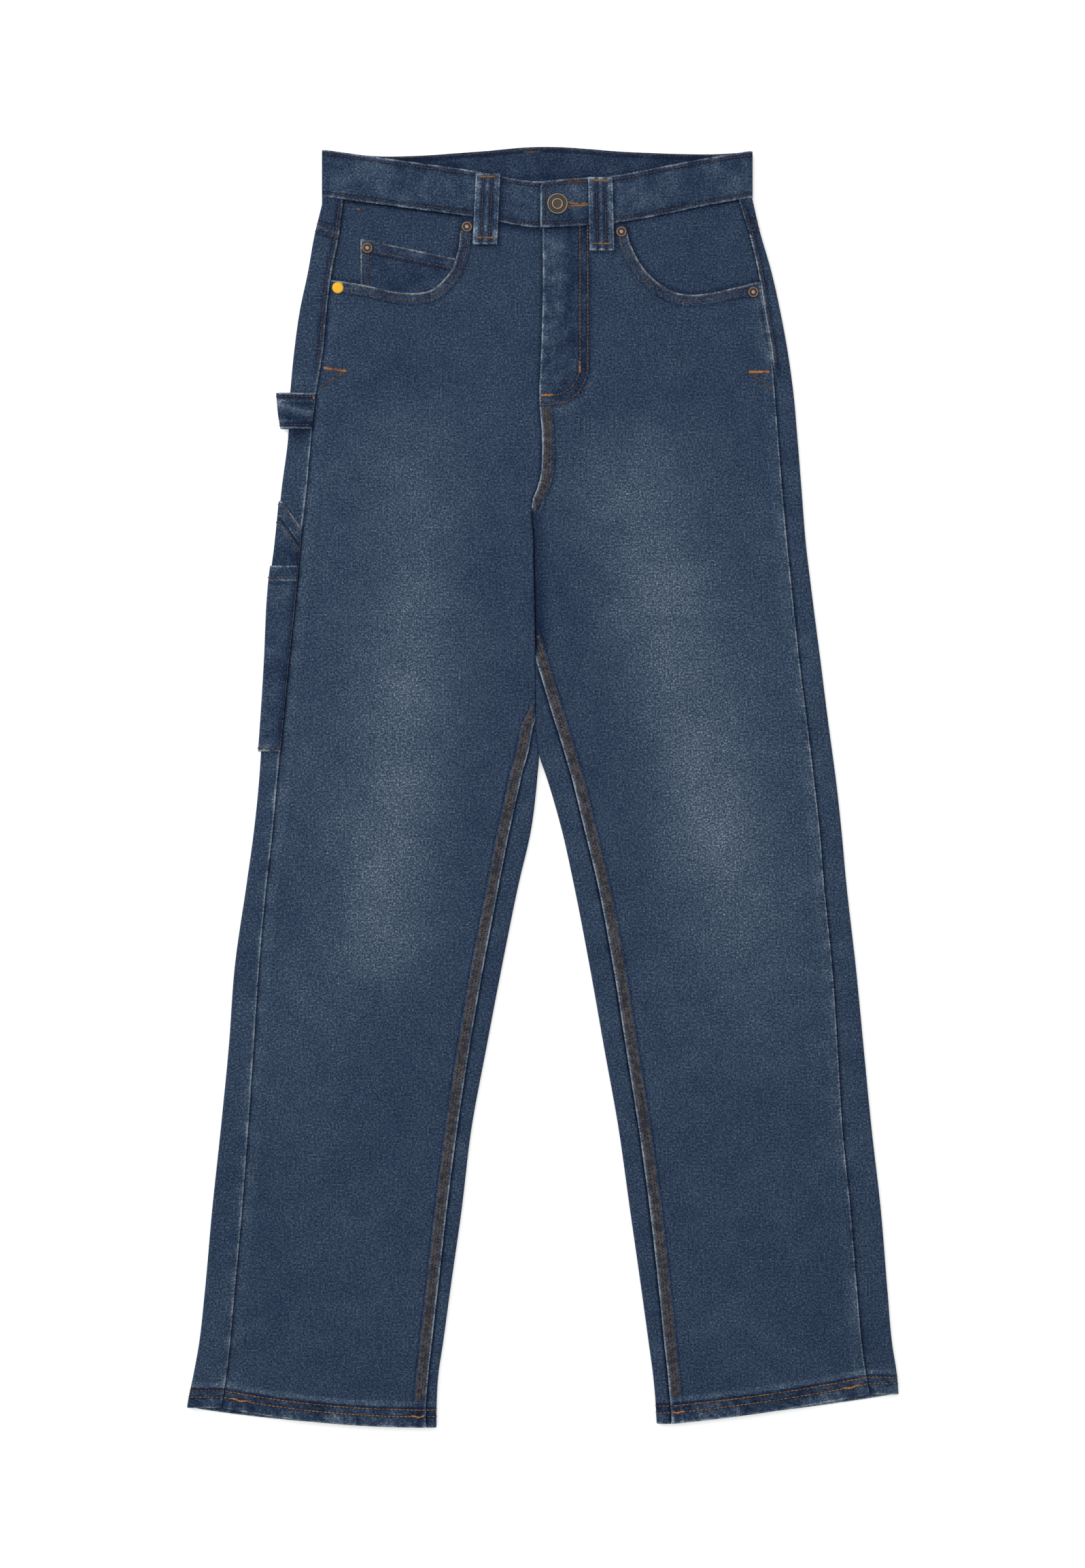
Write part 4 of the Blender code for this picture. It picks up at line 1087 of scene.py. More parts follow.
# y, x of a facing's inner edge on the wearer's right
FACING_EDGE = np.array([(480.0, -52.0), (440.0, -56.0), (415.0, -66.0), (388.0, -88.0)])
COIN_LEFT = -148.0
COIN_RIGHT = -58.0
COIN_TOP = 446.0
COIN_SLOPE = -0.21
COIN_BOTTOM = 392.0
COIN_HEM = 9.6
CENTRE_TOP = 454.0
# Centre front from the waist down: y, x of the left panel's edge, how far the right panel runs under it
CENTRE_FRONT = np.array([
    (456.0, 0.0, 10.0),
    (397.0, 0.2, 10.0),
    (352.0, -1.2, 10.0),
    (338.0, -1.8, 9.0),
    (320.0, -2.6, 6.0),
    (310.0, -2.2, 5.0),
    (289.0, -0.6, 5.0),
    (270.5, -0.3, 4.0),
    (253.0, -1.6, -0.3),
    (243.5, -4.0, -0.3),
    (234.5, -8.0, -0.3),
])


def front_height(leg, x, y, row_y, share):
    """Height of a front panel: crowned by a sine across the leg, raised where the left laps the right."""
    hip = soft_step(y, 240.0, 330.0)
    crown = CROWN * (hip * np.sin(math.pi / 2 * share) + (1 - hip) * np.sin(math.pi * share))
    height = top_height(y) + crown + HEM_RAISE * hem_band(leg, row_y)
    if leg is LEFT:
        fly = soft_step(y, 318.0, 345.0)
        from_edge = x - along(CENTRE_FRONT, 1, y)
        lap = fall(from_edge, 7.0 + 23.0 * fly, 14.0 + 27.0 * fly)
        height = height + LAYER * lap * soft_step(y, 236.0, 243.0)
    return height


def hip_surface(leg, x, y):
    """Height of a front panel at a point in the hips, without its relief."""
    side = along(leg["table"], 2, y)
    inner = along(CENTRE_FRONT, 1, y)
    return front_height(leg, x, y, y, np.clip((x - side) / (inner - side), 0.0, 1.0))


# x and y of a pocket opening's edge, and the place across the panel lower down, as a share of its width
RIGHT_SCOOP = np.array([
    (-172.0, 412.5, 0.00),
    (-155.0, 410.0, 0.07),
    (-137.0, 406.5, 0.15),
    (-118.0, 402.5, 0.24),
    (-100.0, 402.0, 0.33),
    (-88.0, 405.5, 0.40),
    (-79.5, 413.5, 0.45),
    (-72.5, 424.0, 0.50),
    (-68.0, 439.0, 0.55),
])
LEFT_SCOOP = np.array([
    (176.0, 411.0, 0.00),
    (162.0, 407.5, 0.07),
    (149.0, 404.5, 0.13),
    (134.0, 401.5, 0.21),
    (117.0, 400.5, 0.30),
    (103.0, 404.5, 0.38),
    (90.0, 413.5, 0.45),
    (78.0, 428.0, 0.52),
    (70.5, 443.5, 0.57),
])
# The rest of the top edge, sewn to the waistband: x, and the share across the panel lower down
RIGHT_WAIST = np.array([(-65.5, 0.60), (-49.0, 0.69), (-32.5, 0.79), (-14.0, 0.90), (0.0, 1.00)])
LEFT_WAIST = np.array([
    (67.5, 0.62), (54.0, 0.70), (41.0, 0.784), (30.0, 0.842), (14.0, 0.926), (7.0, 0.963), (0.0, 1.00),
])
RIGHT.update(scoop=RIGHT_SCOOP, waist=RIGHT_WAIST)
LEFT.update(scoop=LEFT_SCOOP, waist=LEFT_WAIST)


# Points of the top edge that belong to the scoop, with those up its end
SCOOP_END = 43


def joined(scoop, waist):
    """Numbers along the scoop and the waist seam, with four even steps from one to the other."""
    steps = (waist[0] - scoop[-1]) * np.linspace(0.0, 1.0, 6)[1:-1]
    return np.concatenate([scoop, scoop[-1] + steps, waist])


def top_edge(leg):
    """Shares across a front panel, and x and y of its top edge there: the scoop, the waist seam, and between
    them the short run up the end of the scoop."""
    scoop, waist = leg["scoop"], leg["waist"]
    by_share = scoop[:, [2, 0, 1]]
    scoop_share = np.linspace(0.0, scoop[-1, 2], 40)
    waist_share = np.linspace(waist[0, 1], 1.0, 32)
    end_share = np.clip((waist_share - waist[-2, 1]) / (1.0 - waist[-2, 1]), 0, 1)
    end_x = float(centre_front(leg, CENTRE_TOP))
    waist_x = np.interp(waist_share, waist[:, 1], waist[:, 0]) + (end_x - waist[-1, 0]) * end_share
    x = joined(along(by_share, 1, scoop_share), waist_x)
    y = joined(along(by_share, 2, scoop_share), along(FRONT_BAND, 2, waist_x) - WAIST_ROOM)
    return joined(scoop_share, waist_share), x, y


def centre_front(leg, y):
    """X of a front panel's inner edge above the crotch; the right panel runs on under the left."""
    edge = along(CENTRE_FRONT, 1, y)
    return edge + along(CENTRE_FRONT, 2, y) if leg is RIGHT else edge


def from_line(x, y, line):
    """Distance from points to a line of points: the least over its straight parts."""
    best = np.full(np.shape(x), FAR)
    line = np.asarray(line, float)
    for (ax, ay), (bx, by) in zip(line[:-1], line[1:]):
        dx, dy = bx - ax, by - ay
        share = np.clip(((x - ax) * dx + (y - ay) * dy) / (dx ** 2 + dy ** 2), 0.0, 1.0)
        best = np.minimum(best, np.hypot(x - ax - share * dx, y - ay - share * dy))
    return best


FACING_DENIM = denim("facing_denim", level=-0.02, rim=0.0)
COIN_LINES = (
    ("top", COIN_HEM + 1.0, 1.2, -0.2),
    ("top", COIN_HEM - 0.8, 1.3, -0.12),
    ("top", 5.0, 2.6, 0.08),
)
COIN_DENIM = denim("coin_denim", level=-0.085, rim=0.44, rim_width=2.0, lines=COIN_LINES)
for leg, drop in ((RIGHT, 2 * LAYER), (LEFT, LAYER)):
    level = np.linspace(FACING_TOP, FACING_BOTTOM, 32)[:, None]
    side = along(leg["table"], 2, level) - leg["side"] * GAP
    inner = -leg["side"] * along(FACING_EDGE, 1, level)
    x = side + (inner - side) * np.linspace(0.0, 1.0, 40)[None, :]
    top = along(FRONT_BAND, 2, x) - WAIST_ROOM
    y = top + (FACING_BOTTOM - top) * np.linspace(0.0, 1.0, 32)[:, None]
    grid = spots(x, y, hip_surface(leg, x, y) - drop + 0.12 * ripple(x, y, 35.0, 6.0))
    name = "pocket_facing_" + leg["name"]
    opening = from_line(x, y, spots(*top_edge(leg)[1:])[:SCOOP_END])
    finish = {"shadow": 0.8 * np.maximum(fall(top - y, 0.5, 3.5), fall(opening, 0.5, 4.5))}
    facing = dress(cloth_shell(name + "_cloth", grid, CLOTH, finish), FACING_DENIM, name)
    below = ["back_" + leg["name"] + "_cloth"]
    cut_area(grid)

x = np.broadcast_to(np.linspace(COIN_LEFT, COIN_RIGHT, 46)[None, :], (28, 46))
top = COIN_TOP + COIN_SLOPE * (x - COIN_LEFT)
y = top + (COIN_BOTTOM - top) * np.linspace(0.0, 1.0, 28)[:, None]
hem = fall(top - y, COIN_HEM, COIN_HEM + 1.5)
pucker = 0.16 * ripple(x, y, 20.0, 8.0) + 0.14 * hem * ripple(x, y * 0.4, 12.0, 5.0)
grid = spots(x, y, hip_surface(RIGHT, x, y) - LAYER + 0.35 * hem + pucker)
finish = {"top": top - y, "rim": np.minimum(top - y, x - COIN_LEFT), "sewn": 0.5 * hem, "worn": pucker / 0.25}
coin = dress(cloth_shell("coin_pocket_cloth", grid, CLOTH, finish), COIN_DENIM, "coin_pocket")
cut_area(grid)


def on_coin(start, end):
    """Points on the coin pocket's surface from one x and y to another."""
    x, y = np.linspace(start, end, 12).T
    return spots(x, y, hip_surface(RIGHT, x, y) - LAYER + 0.3)


def topstitch(points):
    """A run of the stitches that most single rows have."""
    return run_of(points, pitch=3.0, length=2.75)


coin_runs = []
side_runs = []
for drop, runs in ((1.7, side_runs), (COIN_HEM - 1.2, coin_runs)):
    ends = [(x, COIN_TOP + COIN_SLOPE * (x - COIN_LEFT) - drop) for x in (COIN_LEFT + 1.5, COIN_RIGHT - 8.0)]
    runs.append(topstitch(on_coin(*ends)))
for x in (COIN_LEFT + 1.5, COIN_LEFT + 6.3):
    side_runs.append(topstitch(on_coin((x, COIN_TOP - 2.5), (x, COIN_BOTTOM + 8.0))))
sew("coin_pocket_hem_thread", coin_runs, RUST_THREAD, 8)
sew("coin_pocket_side_thread", side_runs, BROWN_THREAD, 23)
facing_height = float(hip_surface(RIGHT, -150.0, 470.0)) - 2 * LAYER
sew("facing_tack", [bartack((-151.5, 470.4), (-148.5, 470.0), facing_height)], HEM_THREAD, 9)

# Front panels: two pieces of the same denim, each with a scooped pocket opening, a felled inseam covered by
# three rows of looping thread, and the back's turned hem. The left one laps over the right at the fly, and
# their centre seam, felled too, runs from the fly down to the crotch.
FELL_WIDTH = 9.6
FELL_RAISE = 0.55
FELL_ROWS = (2.9, 5.3, 7.7)
CENTRE_FELL = 8.2
CENTRE_START = 309.0
CENTRE_END = (219.0, 227.0)
CROTCH = 222.0
SCOOP_HEM = 8.2
LOOP_WIDTH = 20.0
# name, leg, x of the middle at the top, x and y at the bottom
FRONT_LOOPS = (
    ("belt_loop_front_right", RIGHT, -44.2, -46.8, 441.0),
    ("belt_loop_front_left", LEFT, 47.0, 48.3, 436.0),
)
LOOP_TOP = 497.0
FRONT_TOP_ROW = 440.0
FULL_ROW = 338.0
# The fly's curved rows on the left panel, inner and outer: x, y
FLY_INNER = (
    (30.4, 457.0), (30.6, 400.0), (30.6, 345.0), (30.4, 339.3), (29.1, 334.3), (25.4, 327.1), (19.4, 321.6),
    (8.8, 318.3), (-0.5, 317.9),
)
FLY_OUTER = (
    (36.7, 457.0), (36.9, 400.0), (36.9, 345.0), (36.6, 338.5), (34.3, 329.9), (29.3, 321.0), (20.5, 313.8),
    (6.1, 311.1), (-1.2, 310.7),
)


def front_sides(leg, y, row_y):
    """X of a front panel's side edge and inner edge: the centre front above the crotch, else the inseam."""
    side = along(leg["table"], 2, y) - leg["side"] * GAP
    inseam = inseam_x(leg, y)
    above = np.clip((row_y - CROTCH_FRONT[0]) / (CROTCH_FRONT[1] - CROTCH_FRONT[0]), 0.0, 1.0)
    return side, inseam + (centre_front(leg, y) - inseam) * above


def loop_shade(x, y):
    """Painted shadow round the front belt loops: a bell over the distance outside them."""
    shade = np.zeros_like(x)
    for _, _, top_x, bottom_x, bottom_y in FRONT_LOOPS:
        middle = np.interp(y, [bottom_y, LOOP_TOP], [bottom_x, top_x])
        beside = np.maximum(np.maximum(x - middle, (middle - x) + 1.6) - LOOP_WIDTH / 2, 0.0)
        under = np.maximum(bottom_y - y, 0.0)
        shade = np.maximum(shade, bell(np.hypot(beside, under), 2.6))
    return 0.9 * shade


def front_marks(leg, x, y, row_y):
    """Distances over a front panel from its side seam, inner edge, felled seam, pocket opening, waist seam
    and fly rows, and outside the fly from its outer row."""
    side, inner = front_sides(leg, y, row_y)
    marks = {"side": np.abs(x - side), "inner": np.abs(inner - x)}
    seam = leg["side"] * (x - seam_path(leg, y)) - GAP
    centre = marks["inner"] + (20.0 * fall(y, *CENTRE_END) if leg is LEFT else FAR)
    marks["seam"] = np.where(y > CROTCH, centre, np.maximum(seam, 0.0))
    line = spots(*top_edge(leg)[1:])
    marks["scoop"] = from_line(x, y, line[:SCOOP_END - 1])
    marks["waist"] = from_line(x, y, line[SCOOP_END:])
    marks["fly"] = marks["outside"] = np.full(np.shape(x), FAR)
    if leg is LEFT:
        within, beyond = from_line(x, y, FLY_INNER), from_line(x, y, FLY_OUTER)
        marks["fly"] = np.minimum(within, beyond)
        marks["outside"] = np.where(within > beyond, beyond, FAR)
    return marks


def front_relief(leg, x, y, row_y, marks):
    """The relief of a front panel: seams pressed down at their line with the allowance raised beside them,
    the felled bands, the hemmed opening, stitch lines drawn in, the roped hem and the creases."""
    side, inner, scoop, waist = marks["side"], marks["inner"], marks["scoop"], marks["waist"]
    height = creased(x, y) * soft_step(np.minimum(side, inner), 0.0, 14.0) * (1.0 - hem_band(leg, row_y))
    height = height - 0.5 * bell(side, 0.9) + 0.22 * fall(side, 8.0, 11.0)
    height = height + 0.30 * ripple(x * 0.4, y, 15.0, 1.0) * np.exp(-side / 6.0)
    below = fall(row_y, *CROTCH_FRONT)
    hidden = covered(leg, y) * below
    radius = 1.7 if leg is RIGHT else 3.0
    turned_in = radius - np.sqrt(np.maximum(radius ** 2 - np.maximum(radius - inner, 0.0) ** 2, 0.0))
    seamed = soft_step(y, *CENTRE_END)
    height = height - turned_in * hidden * (1.0 - seamed)
    height = height - (0.35 * hidden * np.exp(-inner / 9.0) if leg is LEFT else 0.0)
    seam = marks["seam"]
    fell = fall(seam, FELL_WIDTH - 0.5, FELL_WIDTH + 0.9) * below
    puckered = 0.75 + 0.55 * np.sin(row_y * 2 * math.pi / 6.5 + 2.0 * ripple(x, y, 33.0, 2.0))
    height = height + FELL_RAISE * fell * (0.72 + 0.28 * puckered) - 0.4 * bell(seam, 0.8) * below
    if leg is LEFT:
        centre = fall(inner, CENTRE_FELL - 0.5, CENTRE_FELL + 0.9) * seamed * fall(y, 306.0, 312.0)
        height = height + 0.5 * centre * (0.7 + 0.3 * puckered)
        fly = fall(inner, 36.0, 39.0) * soft_step(y, 306.0, 316.0)
        quilted = 0.22 * ripple(x, y * 1.3, 19.0, 4.0) + 0.20 * ripple(x * 2.2, y * 0.5, 40.0, 8.0)
        height = height + fly * quilted
        edges = bell(inner, 1.6, 2.2) + 0.7 * bell(inner, 2.0, 9.0)
        uneven = 0.8 + 0.6 * ripple(x * 0.3, y, 17.0, 6.0)
        height = height + 0.3 * fly * edges * uneven * soft_step(y, 312.0, 325.0)
        height = height - 0.26 * bell(marks["fly"], 1.0)
        height = height + 0.24 * bell(marks["fly"], 1.5, 3.0) * (0.8 + 0.6 * ripple(x * 0.5, y, 9.0, 3.0))
    open_hem = fall(scoop, SCOOP_HEM, SCOOP_HEM + 1.5)
    height = height + open_hem * (0.35 + 0.24 * ripple(x, y, 9.0, 3.0)) - 0.35 * bell(scoop, 0.8)
    height = height - 0.2 * bell(scoop - SCOOP_HEM, 2.0, 2.0)
    height = height - 0.75 * fall(waist, 1.5, 7.0) * (1.0 - open_hem)
    return height + hem_roping(leg, x, y, row_y)


def close_points(line):
    """X and y of points evenly spaced along a line, about 1.5 mm apart."""
    line = np.asarray(line, float)
    run = run_along(line)
    return at_runs(line, run, np.linspace(0.0, run[-1], max(3, int(run[-1] / 1.5)))).T


def on_front(leg, line, lift=0.08):
    """Points on a front panel's finished surface, close together along a line of x and y. The row that a
    point lies on is found from the hem's tilt and bow in three rounds."""
    x, y = close_points(line)
    row_y = y
    for _ in range(3):
        side, inner = front_sides(leg, y, row_y)
        share = np.clip((x - side) / (inner - side), 0.0, 1.0)
        row_y = y - hem_drop(leg, share, row_y)
    relief = front_relief(leg, x, y, row_y, front_marks(leg, x, y, row_y))
    return spots(x, y, front_height(leg, x, y, row_y, share) + relief + lift)


def front_grid(leg):
    """A front panel as rows down the leg. The top edge is the scoop and the waist seam; rows blend from it to
    level ones, which run from seam to seam and tilt with the hem."""
    share, top_x, top_y = top_edge(leg)
    by_fold = np.array([0.004, 0.009, 0.014, 0.02, 0.027, 0.034, 0.041, 0.048, 0.055])
    more = np.unique(np.concatenate([share, by_fold[:4], 1.0 - by_fold]))
    top_x, top_y = np.interp(more, share, top_x), np.interp(more, share, top_y)
    blend = np.linspace(1.0, 0.0, 30)[:-1]
    level = np.unique(np.append(rows_down(leg, FULL_ROW, 3.4), CROTCH_FRONT))[::-1]
    row_y = np.concatenate([FULL_ROW + (FRONT_TOP_ROW - FULL_ROW) * blend, level])[:, None]
    blend = np.concatenate([blend, np.zeros(len(level))])[:, None]
    level = np.minimum(row_y, FULL_ROW)
    y = level + hem_drop(leg, more, level)
    y = y + (top_y - y) * blend
    side, inner = front_sides(leg, y, level)
    x = side + (inner - side) * more
    x[:, 1:-1] += ((top_x - x) * blend)[:, 1:-1]
    rows = np.broadcast_to(row_y, y.shape)
    marks = front_marks(leg, x, y, rows)
    height = front_height(leg, x, y, rows, np.clip((x - side) / (inner - side), 0.0, 1.0))
    relief = front_relief(leg, x, y, rows, marks)
    sewn = np.maximum.reduce([
        hem_band(leg, rows),
        0.45 * fall(marks["seam"], FELL_WIDTH, FELL_WIDTH + 1.5) * (y < CENTRE_START + 1.0),
        0.6 * fall(marks["scoop"], SCOOP_HEM, SCOOP_HEM + 2.0),
        0.5 * np.exp(-marks["side"] / 4.0),
        0.7 * np.exp(-marks["fly"] / 3.0),
    ])
    if leg is LEFT:
        sewn = np.maximum(sewn, 0.7 * soft_step(y, 312.0, 330.0) * fall(marks["inner"], 36.0, 42.0))
    rim = np.minimum.reduce([marks["scoop"], rows - leg["hem_y"], marks["seam"]])
    rim = np.minimum(rim, marks["side"] + (20.0 if leg is RIGHT else 0.0))
    if leg is LEFT:
        placket = bell(marks["inner"], 6.0, 24.0) * soft_step(y, 316.0, 330.0)
        beside_fly = np.maximum(0.7 * bell(marks["fly"], 2.6, 1.0), 0.5 * placket)
    else:
        beside_fly = bell(along(CENTRE_FRONT, 1, y), 1.9, x) * soft_step(y, *CENTRE_END)
    beside_fold = fall(rows, *CROTCH_FRONT) * covered(leg, y) * fall(marks["inner"], 3.0, 14.0)
    beside_fold = beside_fold * (0.55 + 0.45 * fall(y, 60.0, 220.0)) * (0.9 if leg is LEFT else 0.09)
    finish = {
        "rim": rim,
        "inner": np.where(y < CENTRE_START, marks["seam"], FAR),
        "low": rows - leg["hem_y"],
        "top": marks["scoop"],
        "fade": faded(x, y) + 0.8 * bell(marks["outside"], 2.8, 5.0) * fall(y, 322.0, 350.0),
        "sewn": sewn,
        "worn": np.clip((relief - 0.7 * creased(x, y)) / 0.6, -0.9, 0.9),
        "shadow": np.maximum.reduce([
            0.7 * fall(marks["waist"], 0.0, 5.0) * (marks["scoop"] > 3.0),
            beside_fly,
            beside_fold,
            loop_shade(x, y),
            0.9 * bell(marks["side"], 1.6) * (leg is RIGHT),
        ]),
    }
    return spots(x, y, height + relief), finish


FRONT_LINES = (
    *HEM_LINES,
    ("top", SCOOP_HEM + 1.0, 1.5, -0.2),
    ("top", 6.4, 1.6, -0.26),
    ("top", 3.4, 2.4, -0.17),
    ("inner", FELL_WIDTH + 1.0, 1.4, -0.2),
    ("inner", 5.4, 4.0, -0.30),
)
FRONT_DENIM = denim("front_denim", level=0.0, rim=0.46, rim_width=1.9, lines=FRONT_LINES)
FELL_STITCH = {"pitch": 1.25, "thick": 0.95, "across": 0.55}
front_runs = []
scoop_runs = []
fell_runs = []
hem_runs = []
backtacks = []
for leg in (RIGHT, LEFT):
    grid, finish = front_grid(leg)
    name = "front_" + leg["name"]
    panel = dress(cloth_shell(name + "_cloth", grid, CLOTH, finish), FRONT_DENIM, name)
    below = ["back_" + leg["name"] + "_cloth"]
    cut_area(grid)
    scoop = spots(*top_edge(leg)[1:])[:SCOOP_END]
    ahead = np.gradient(scoop, axis=0)
    ahead /= np.linalg.norm(ahead, axis=1, keepdims=True)
    across = leg["side"] * spots(-ahead[:, 1], ahead[:, 0])
    for inset in (1.7, 6.6):
        scoop_runs.append(topstitch(on_front(leg, (scoop + across * inset)[3:])))
    seam_y = np.arange(150.0, leg["hem_y"] + leg["tilt"] + HEM_DEPTH + 4.0, -1.5)
    for inset in FELL_ROWS:
        row_x = seam_path(leg, seam_y) + leg["side"] * (inset + GAP)
        clear = leg["side"] * (row_x - inner_fold(leg, seam_y)) > 2.0
        line = spots(row_x, seam_y)[clear]
        fell_runs.append(run_of(on_front(leg, line, 0.2), length=2.9, **FELL_STITCH))
    span = np.linspace(0.004, 0.998, 60)
    for rise in HEM_ROWS:
        row = leg["hem_y"] + rise
        level_y = row + hem_drop(leg, span, row)
        side, inner = front_sides(leg, level_y, level_y)
        line = spots(side + (inner - side) * span, level_y)
        hem_runs.append(run_of(on_front(leg, line, 0.16), pitch=3.3, length=3.1, thick=1.1))
    share = np.linspace(0.0, 1.0, 14)
    wave = 0.7 * np.sin(np.linspace(0.0, 9.0, 14))
    for first, last in ((2, 8), (-5, -1)):
        (ax, ay), (bx, by) = line[first], line[last]
        backtack = spots(ax + (bx - ax) * share, ay + (by - ay) * share + wave)
        backtacks.append(run_of(on_front(leg, backtack, 0.5), pitch=2.2, length=2.3, thick=1.3))
for inset, last in ((2.7, 222.5), (4.9, 228.0), (7.1, 233.0)):
    centre_y = np.arange(CENTRE_START, last, -1.5)
    line = spots(front_sides(LEFT, centre_y, centre_y)[1] + inset, centre_y)
    fell_runs.append(run_of(on_front(LEFT, line, 0.2), length=2.7, **FELL_STITCH))
for line in (FLY_INNER, FLY_OUTER):
    front_runs.append(run_of(on_front(LEFT, line), pitch=2.9, length=2.75, thick=1.1))
sew("front_thread", front_runs, RUST_THREAD, 10)
sew("pocket_opening_thread", scoop_runs, RUST_THREAD, 21)
sew("felled_seam_thread", fell_runs, UMBER_THREAD, 18)
sew("hem_thread_front", hem_runs, HEM_THREAD, 19)
sew("hem_backtacks", backtacks, ORANGE_THREAD, 22)


def tack_on(leg, start, end, width=1.9):
    """A bartack on a front panel between two points."""
    return run_of(on_front(leg, [start, end], 0.25), pitch=0.5, length=width, thick=0.62, across=0.25)


# Orange bartacks at the fly's curve and at the side seams, where two slanting rows of rust thread meet them
tacks = [
    tack_on(LEFT, (-1.2, 318.6), (8.6, 318.9)),
    tack_on(LEFT, (30.4, 346.0), (30.4, 337.6)),
    tack_on(RIGHT, (-178.0, 341.0), (-160.0, 338.4), 2.3),
    tack_on(LEFT, (168.0, 337.7), (184.5, 337.7), 2.3),
]
sew("front_bartacks", tacks, ORANGE_THREAD, 11)
slants = []
for drop in (0.0, 2.1):
    right_line = [(-158.4 - drop, 338.4), (-181.0, 325.4 - drop * 0.4)]
    left_line = [(166.8 + drop, 337.4), (188.0, 322.7 - drop * 0.4)]
    for leg, line in ((RIGHT, right_line), (LEFT, left_line)):
        slants.append(run_of(on_front(leg, line), pitch=2.7, length=2.5, thick=1.0))
sew("slant_thread", slants, RUST_THREAD, 24)

# The topstitched side seams of the hips: one row on the back panel's strip, from the waistband to the bartack
hip_runs = []
for leg in (RIGHT, LEFT):
    y = np.arange(474.0, 343.0, -3.0)
    x = along(leg["table"], 2, y) + leg["side"] * 2.9
    hip_runs.append(topstitch(spots(x, y, top_height(y) + 0.12)))
sew("side_seam_thread", hip_runs, BROWN_THREAD, 12)

# Waistband: one long folded strip of denim with its seams inside, sewn all round a few millimetres from its
# edges. Its left end laps over the right end at the centre front.
BAND = 2.0
FRONT_BAND_TOP = 7.4
BAND_START = 34.0
BAND_END = -1.6
BAND_STEP = (37.0, 55.0)
BAND_FOLD_RIGHT = -176.5
BAND_FOLD_LEFT = 168.0
BAND_INSET = 3.3


def band_surface(x):
    """Height of the waistband's front run: its left end lies over its right end at the centre front."""
    lap = fall(x, *BAND_STEP) * (np.asarray(x) > BAND_END)
    return FRONT_BAND_TOP + (BAND + GAP) * lap


def band_stations():
    """Stations round the waistband: x, y of both edges, height, and how far it faces up. They run from the
    right end over the front, round a half circle at the fold, along the back, and round to the left end."""
    radius = (FRONT_BAND_TOP - LAYER) / 2
    stations = []

    def turn(fold_x, side, top, start, end):
        """Stations round a fold, from one angle to another."""
        for angle in np.linspace(start, end, 10)[1:-1]:
            x = fold_x + side * radius * math.sin(angle)
            height = LAYER + radius + radius * math.cos(angle)
            stations.append((x, top, top - BAND_WIDTH, height, max(0.0, math.cos(angle))))

    for x in np.linspace(BAND_START, BAND_FOLD_RIGHT, 92):
        stations.append((x, along(FRONT_BAND, 1, x), along(FRONT_BAND, 2, x), FRONT_BAND_TOP, 1.0))
    turn(BAND_FOLD_RIGHT, -1, BACK_BAND[0, 1], 0.0, math.pi)
    for x in np.linspace(BAND_FOLD_RIGHT, BAND_FOLD_LEFT, 90):
        stations.append((x, along(BACK_BAND, 1, x), back_waist(x), LAYER, 0.0))
    turn(BAND_FOLD_LEFT, 1, BACK_BAND[-1, 1], math.pi, 0.0)
    for x in np.linspace(BAND_FOLD_LEFT, BAND_END, 76):
        height = float(band_surface(x + 0.01))
        stations.append((x, along(FRONT_BAND, 1, x), along(FRONT_BAND, 2, x), height, 1.0))
    return np.array(stations)


def band_relief(x, y, top, low):
    """The waistband's own relief: padded between its rows, rolled at its edges, puckered along the rows."""
    edge = np.minimum(top - y, y - low)
    height = 0.25 * soft_step(edge, BAND_INSET, BAND_INSET + 6.0) - 0.5 * bell(edge, 0.9)
    height = height + 0.2 * bell(edge, 1.1, 1.7) - 0.18 * bell(edge, 0.9, BAND_INSET)
    pull = 0.34 * ripple(x * 1.3, y * 0.45, 14.0, 2.0) * np.exp(-np.maximum(edge - BAND_INSET, 0.0) / 8.0)
    return height + pull + 0.30 * ripple(x, y * 0.6, 34.0, 5.0)


stations = band_stations()
share = np.linspace(0.0, 1.0, 26)
station_x, top, low, level, up = np.moveaxis(stations[:, :, None], 1, 0)
x = np.broadcast_to(station_x, (len(stations), len(share)))
y = top + (low - top) * share
relief = up * band_relief(x, y, top, low)
behind = up == 0.0
from_front = y - along(FRONT_BAND, 1, x)
open_back = behind * soft_step(from_front, -4.0, 5.0)
pleat = open_back * ripple(x + 0.5 * y, y * 0.25, 46.0, 3.0)
grid = spots(x, y, level + relief + 0.45 * (open_back + pleat))
ends = length_along(grid, 0)
corner = np.clip(4.0 - (ends[-1:] - ends), 0.0, 4.0)
grid[..., 1] -= (4.0 - np.sqrt(16.0 - corner ** 2)) * (1.0 - share)
edge = np.minimum.reduce([top - y, y - low, ends[-1:] - ends])
# Painted shade inside the back run, darkest just above the front run's top edge, and in front painted shadow
# round the belt loops and beside the lapped end; the back run's pleats get a painted highlight on their
# ridges
shade = np.where(behind, 0.10 + 0.42 * fall(from_front, -1.0, 9.0), loop_shade(x, y))
finish = {
    "across": ends,
    "top": edge,
    "rim": edge + 1.2 * behind,
    "sewn": 0.45,
    "worn": np.clip(relief / 0.36, -1.1, 0.8) + 0.3 * pleat,
    "shadow": shade + bell(BAND_END, 2.2, x) * (x < BAND_END) * (up > 0.0),
}
BAND_LINES = [("top", BAND_INSET + 0.2, 1.9, -0.26)]
BAND_DENIM = denim("waistband_denim", level=-0.065, rim=0.58, rim_width=1.7, lines=BAND_LINES)
band = dress(cloth_shell("waistband_cloth", grid, BAND, finish), BAND_DENIM, "waistband")
below = ["yoke_right_cloth", "yoke_left_cloth"]
cut_area(grid)


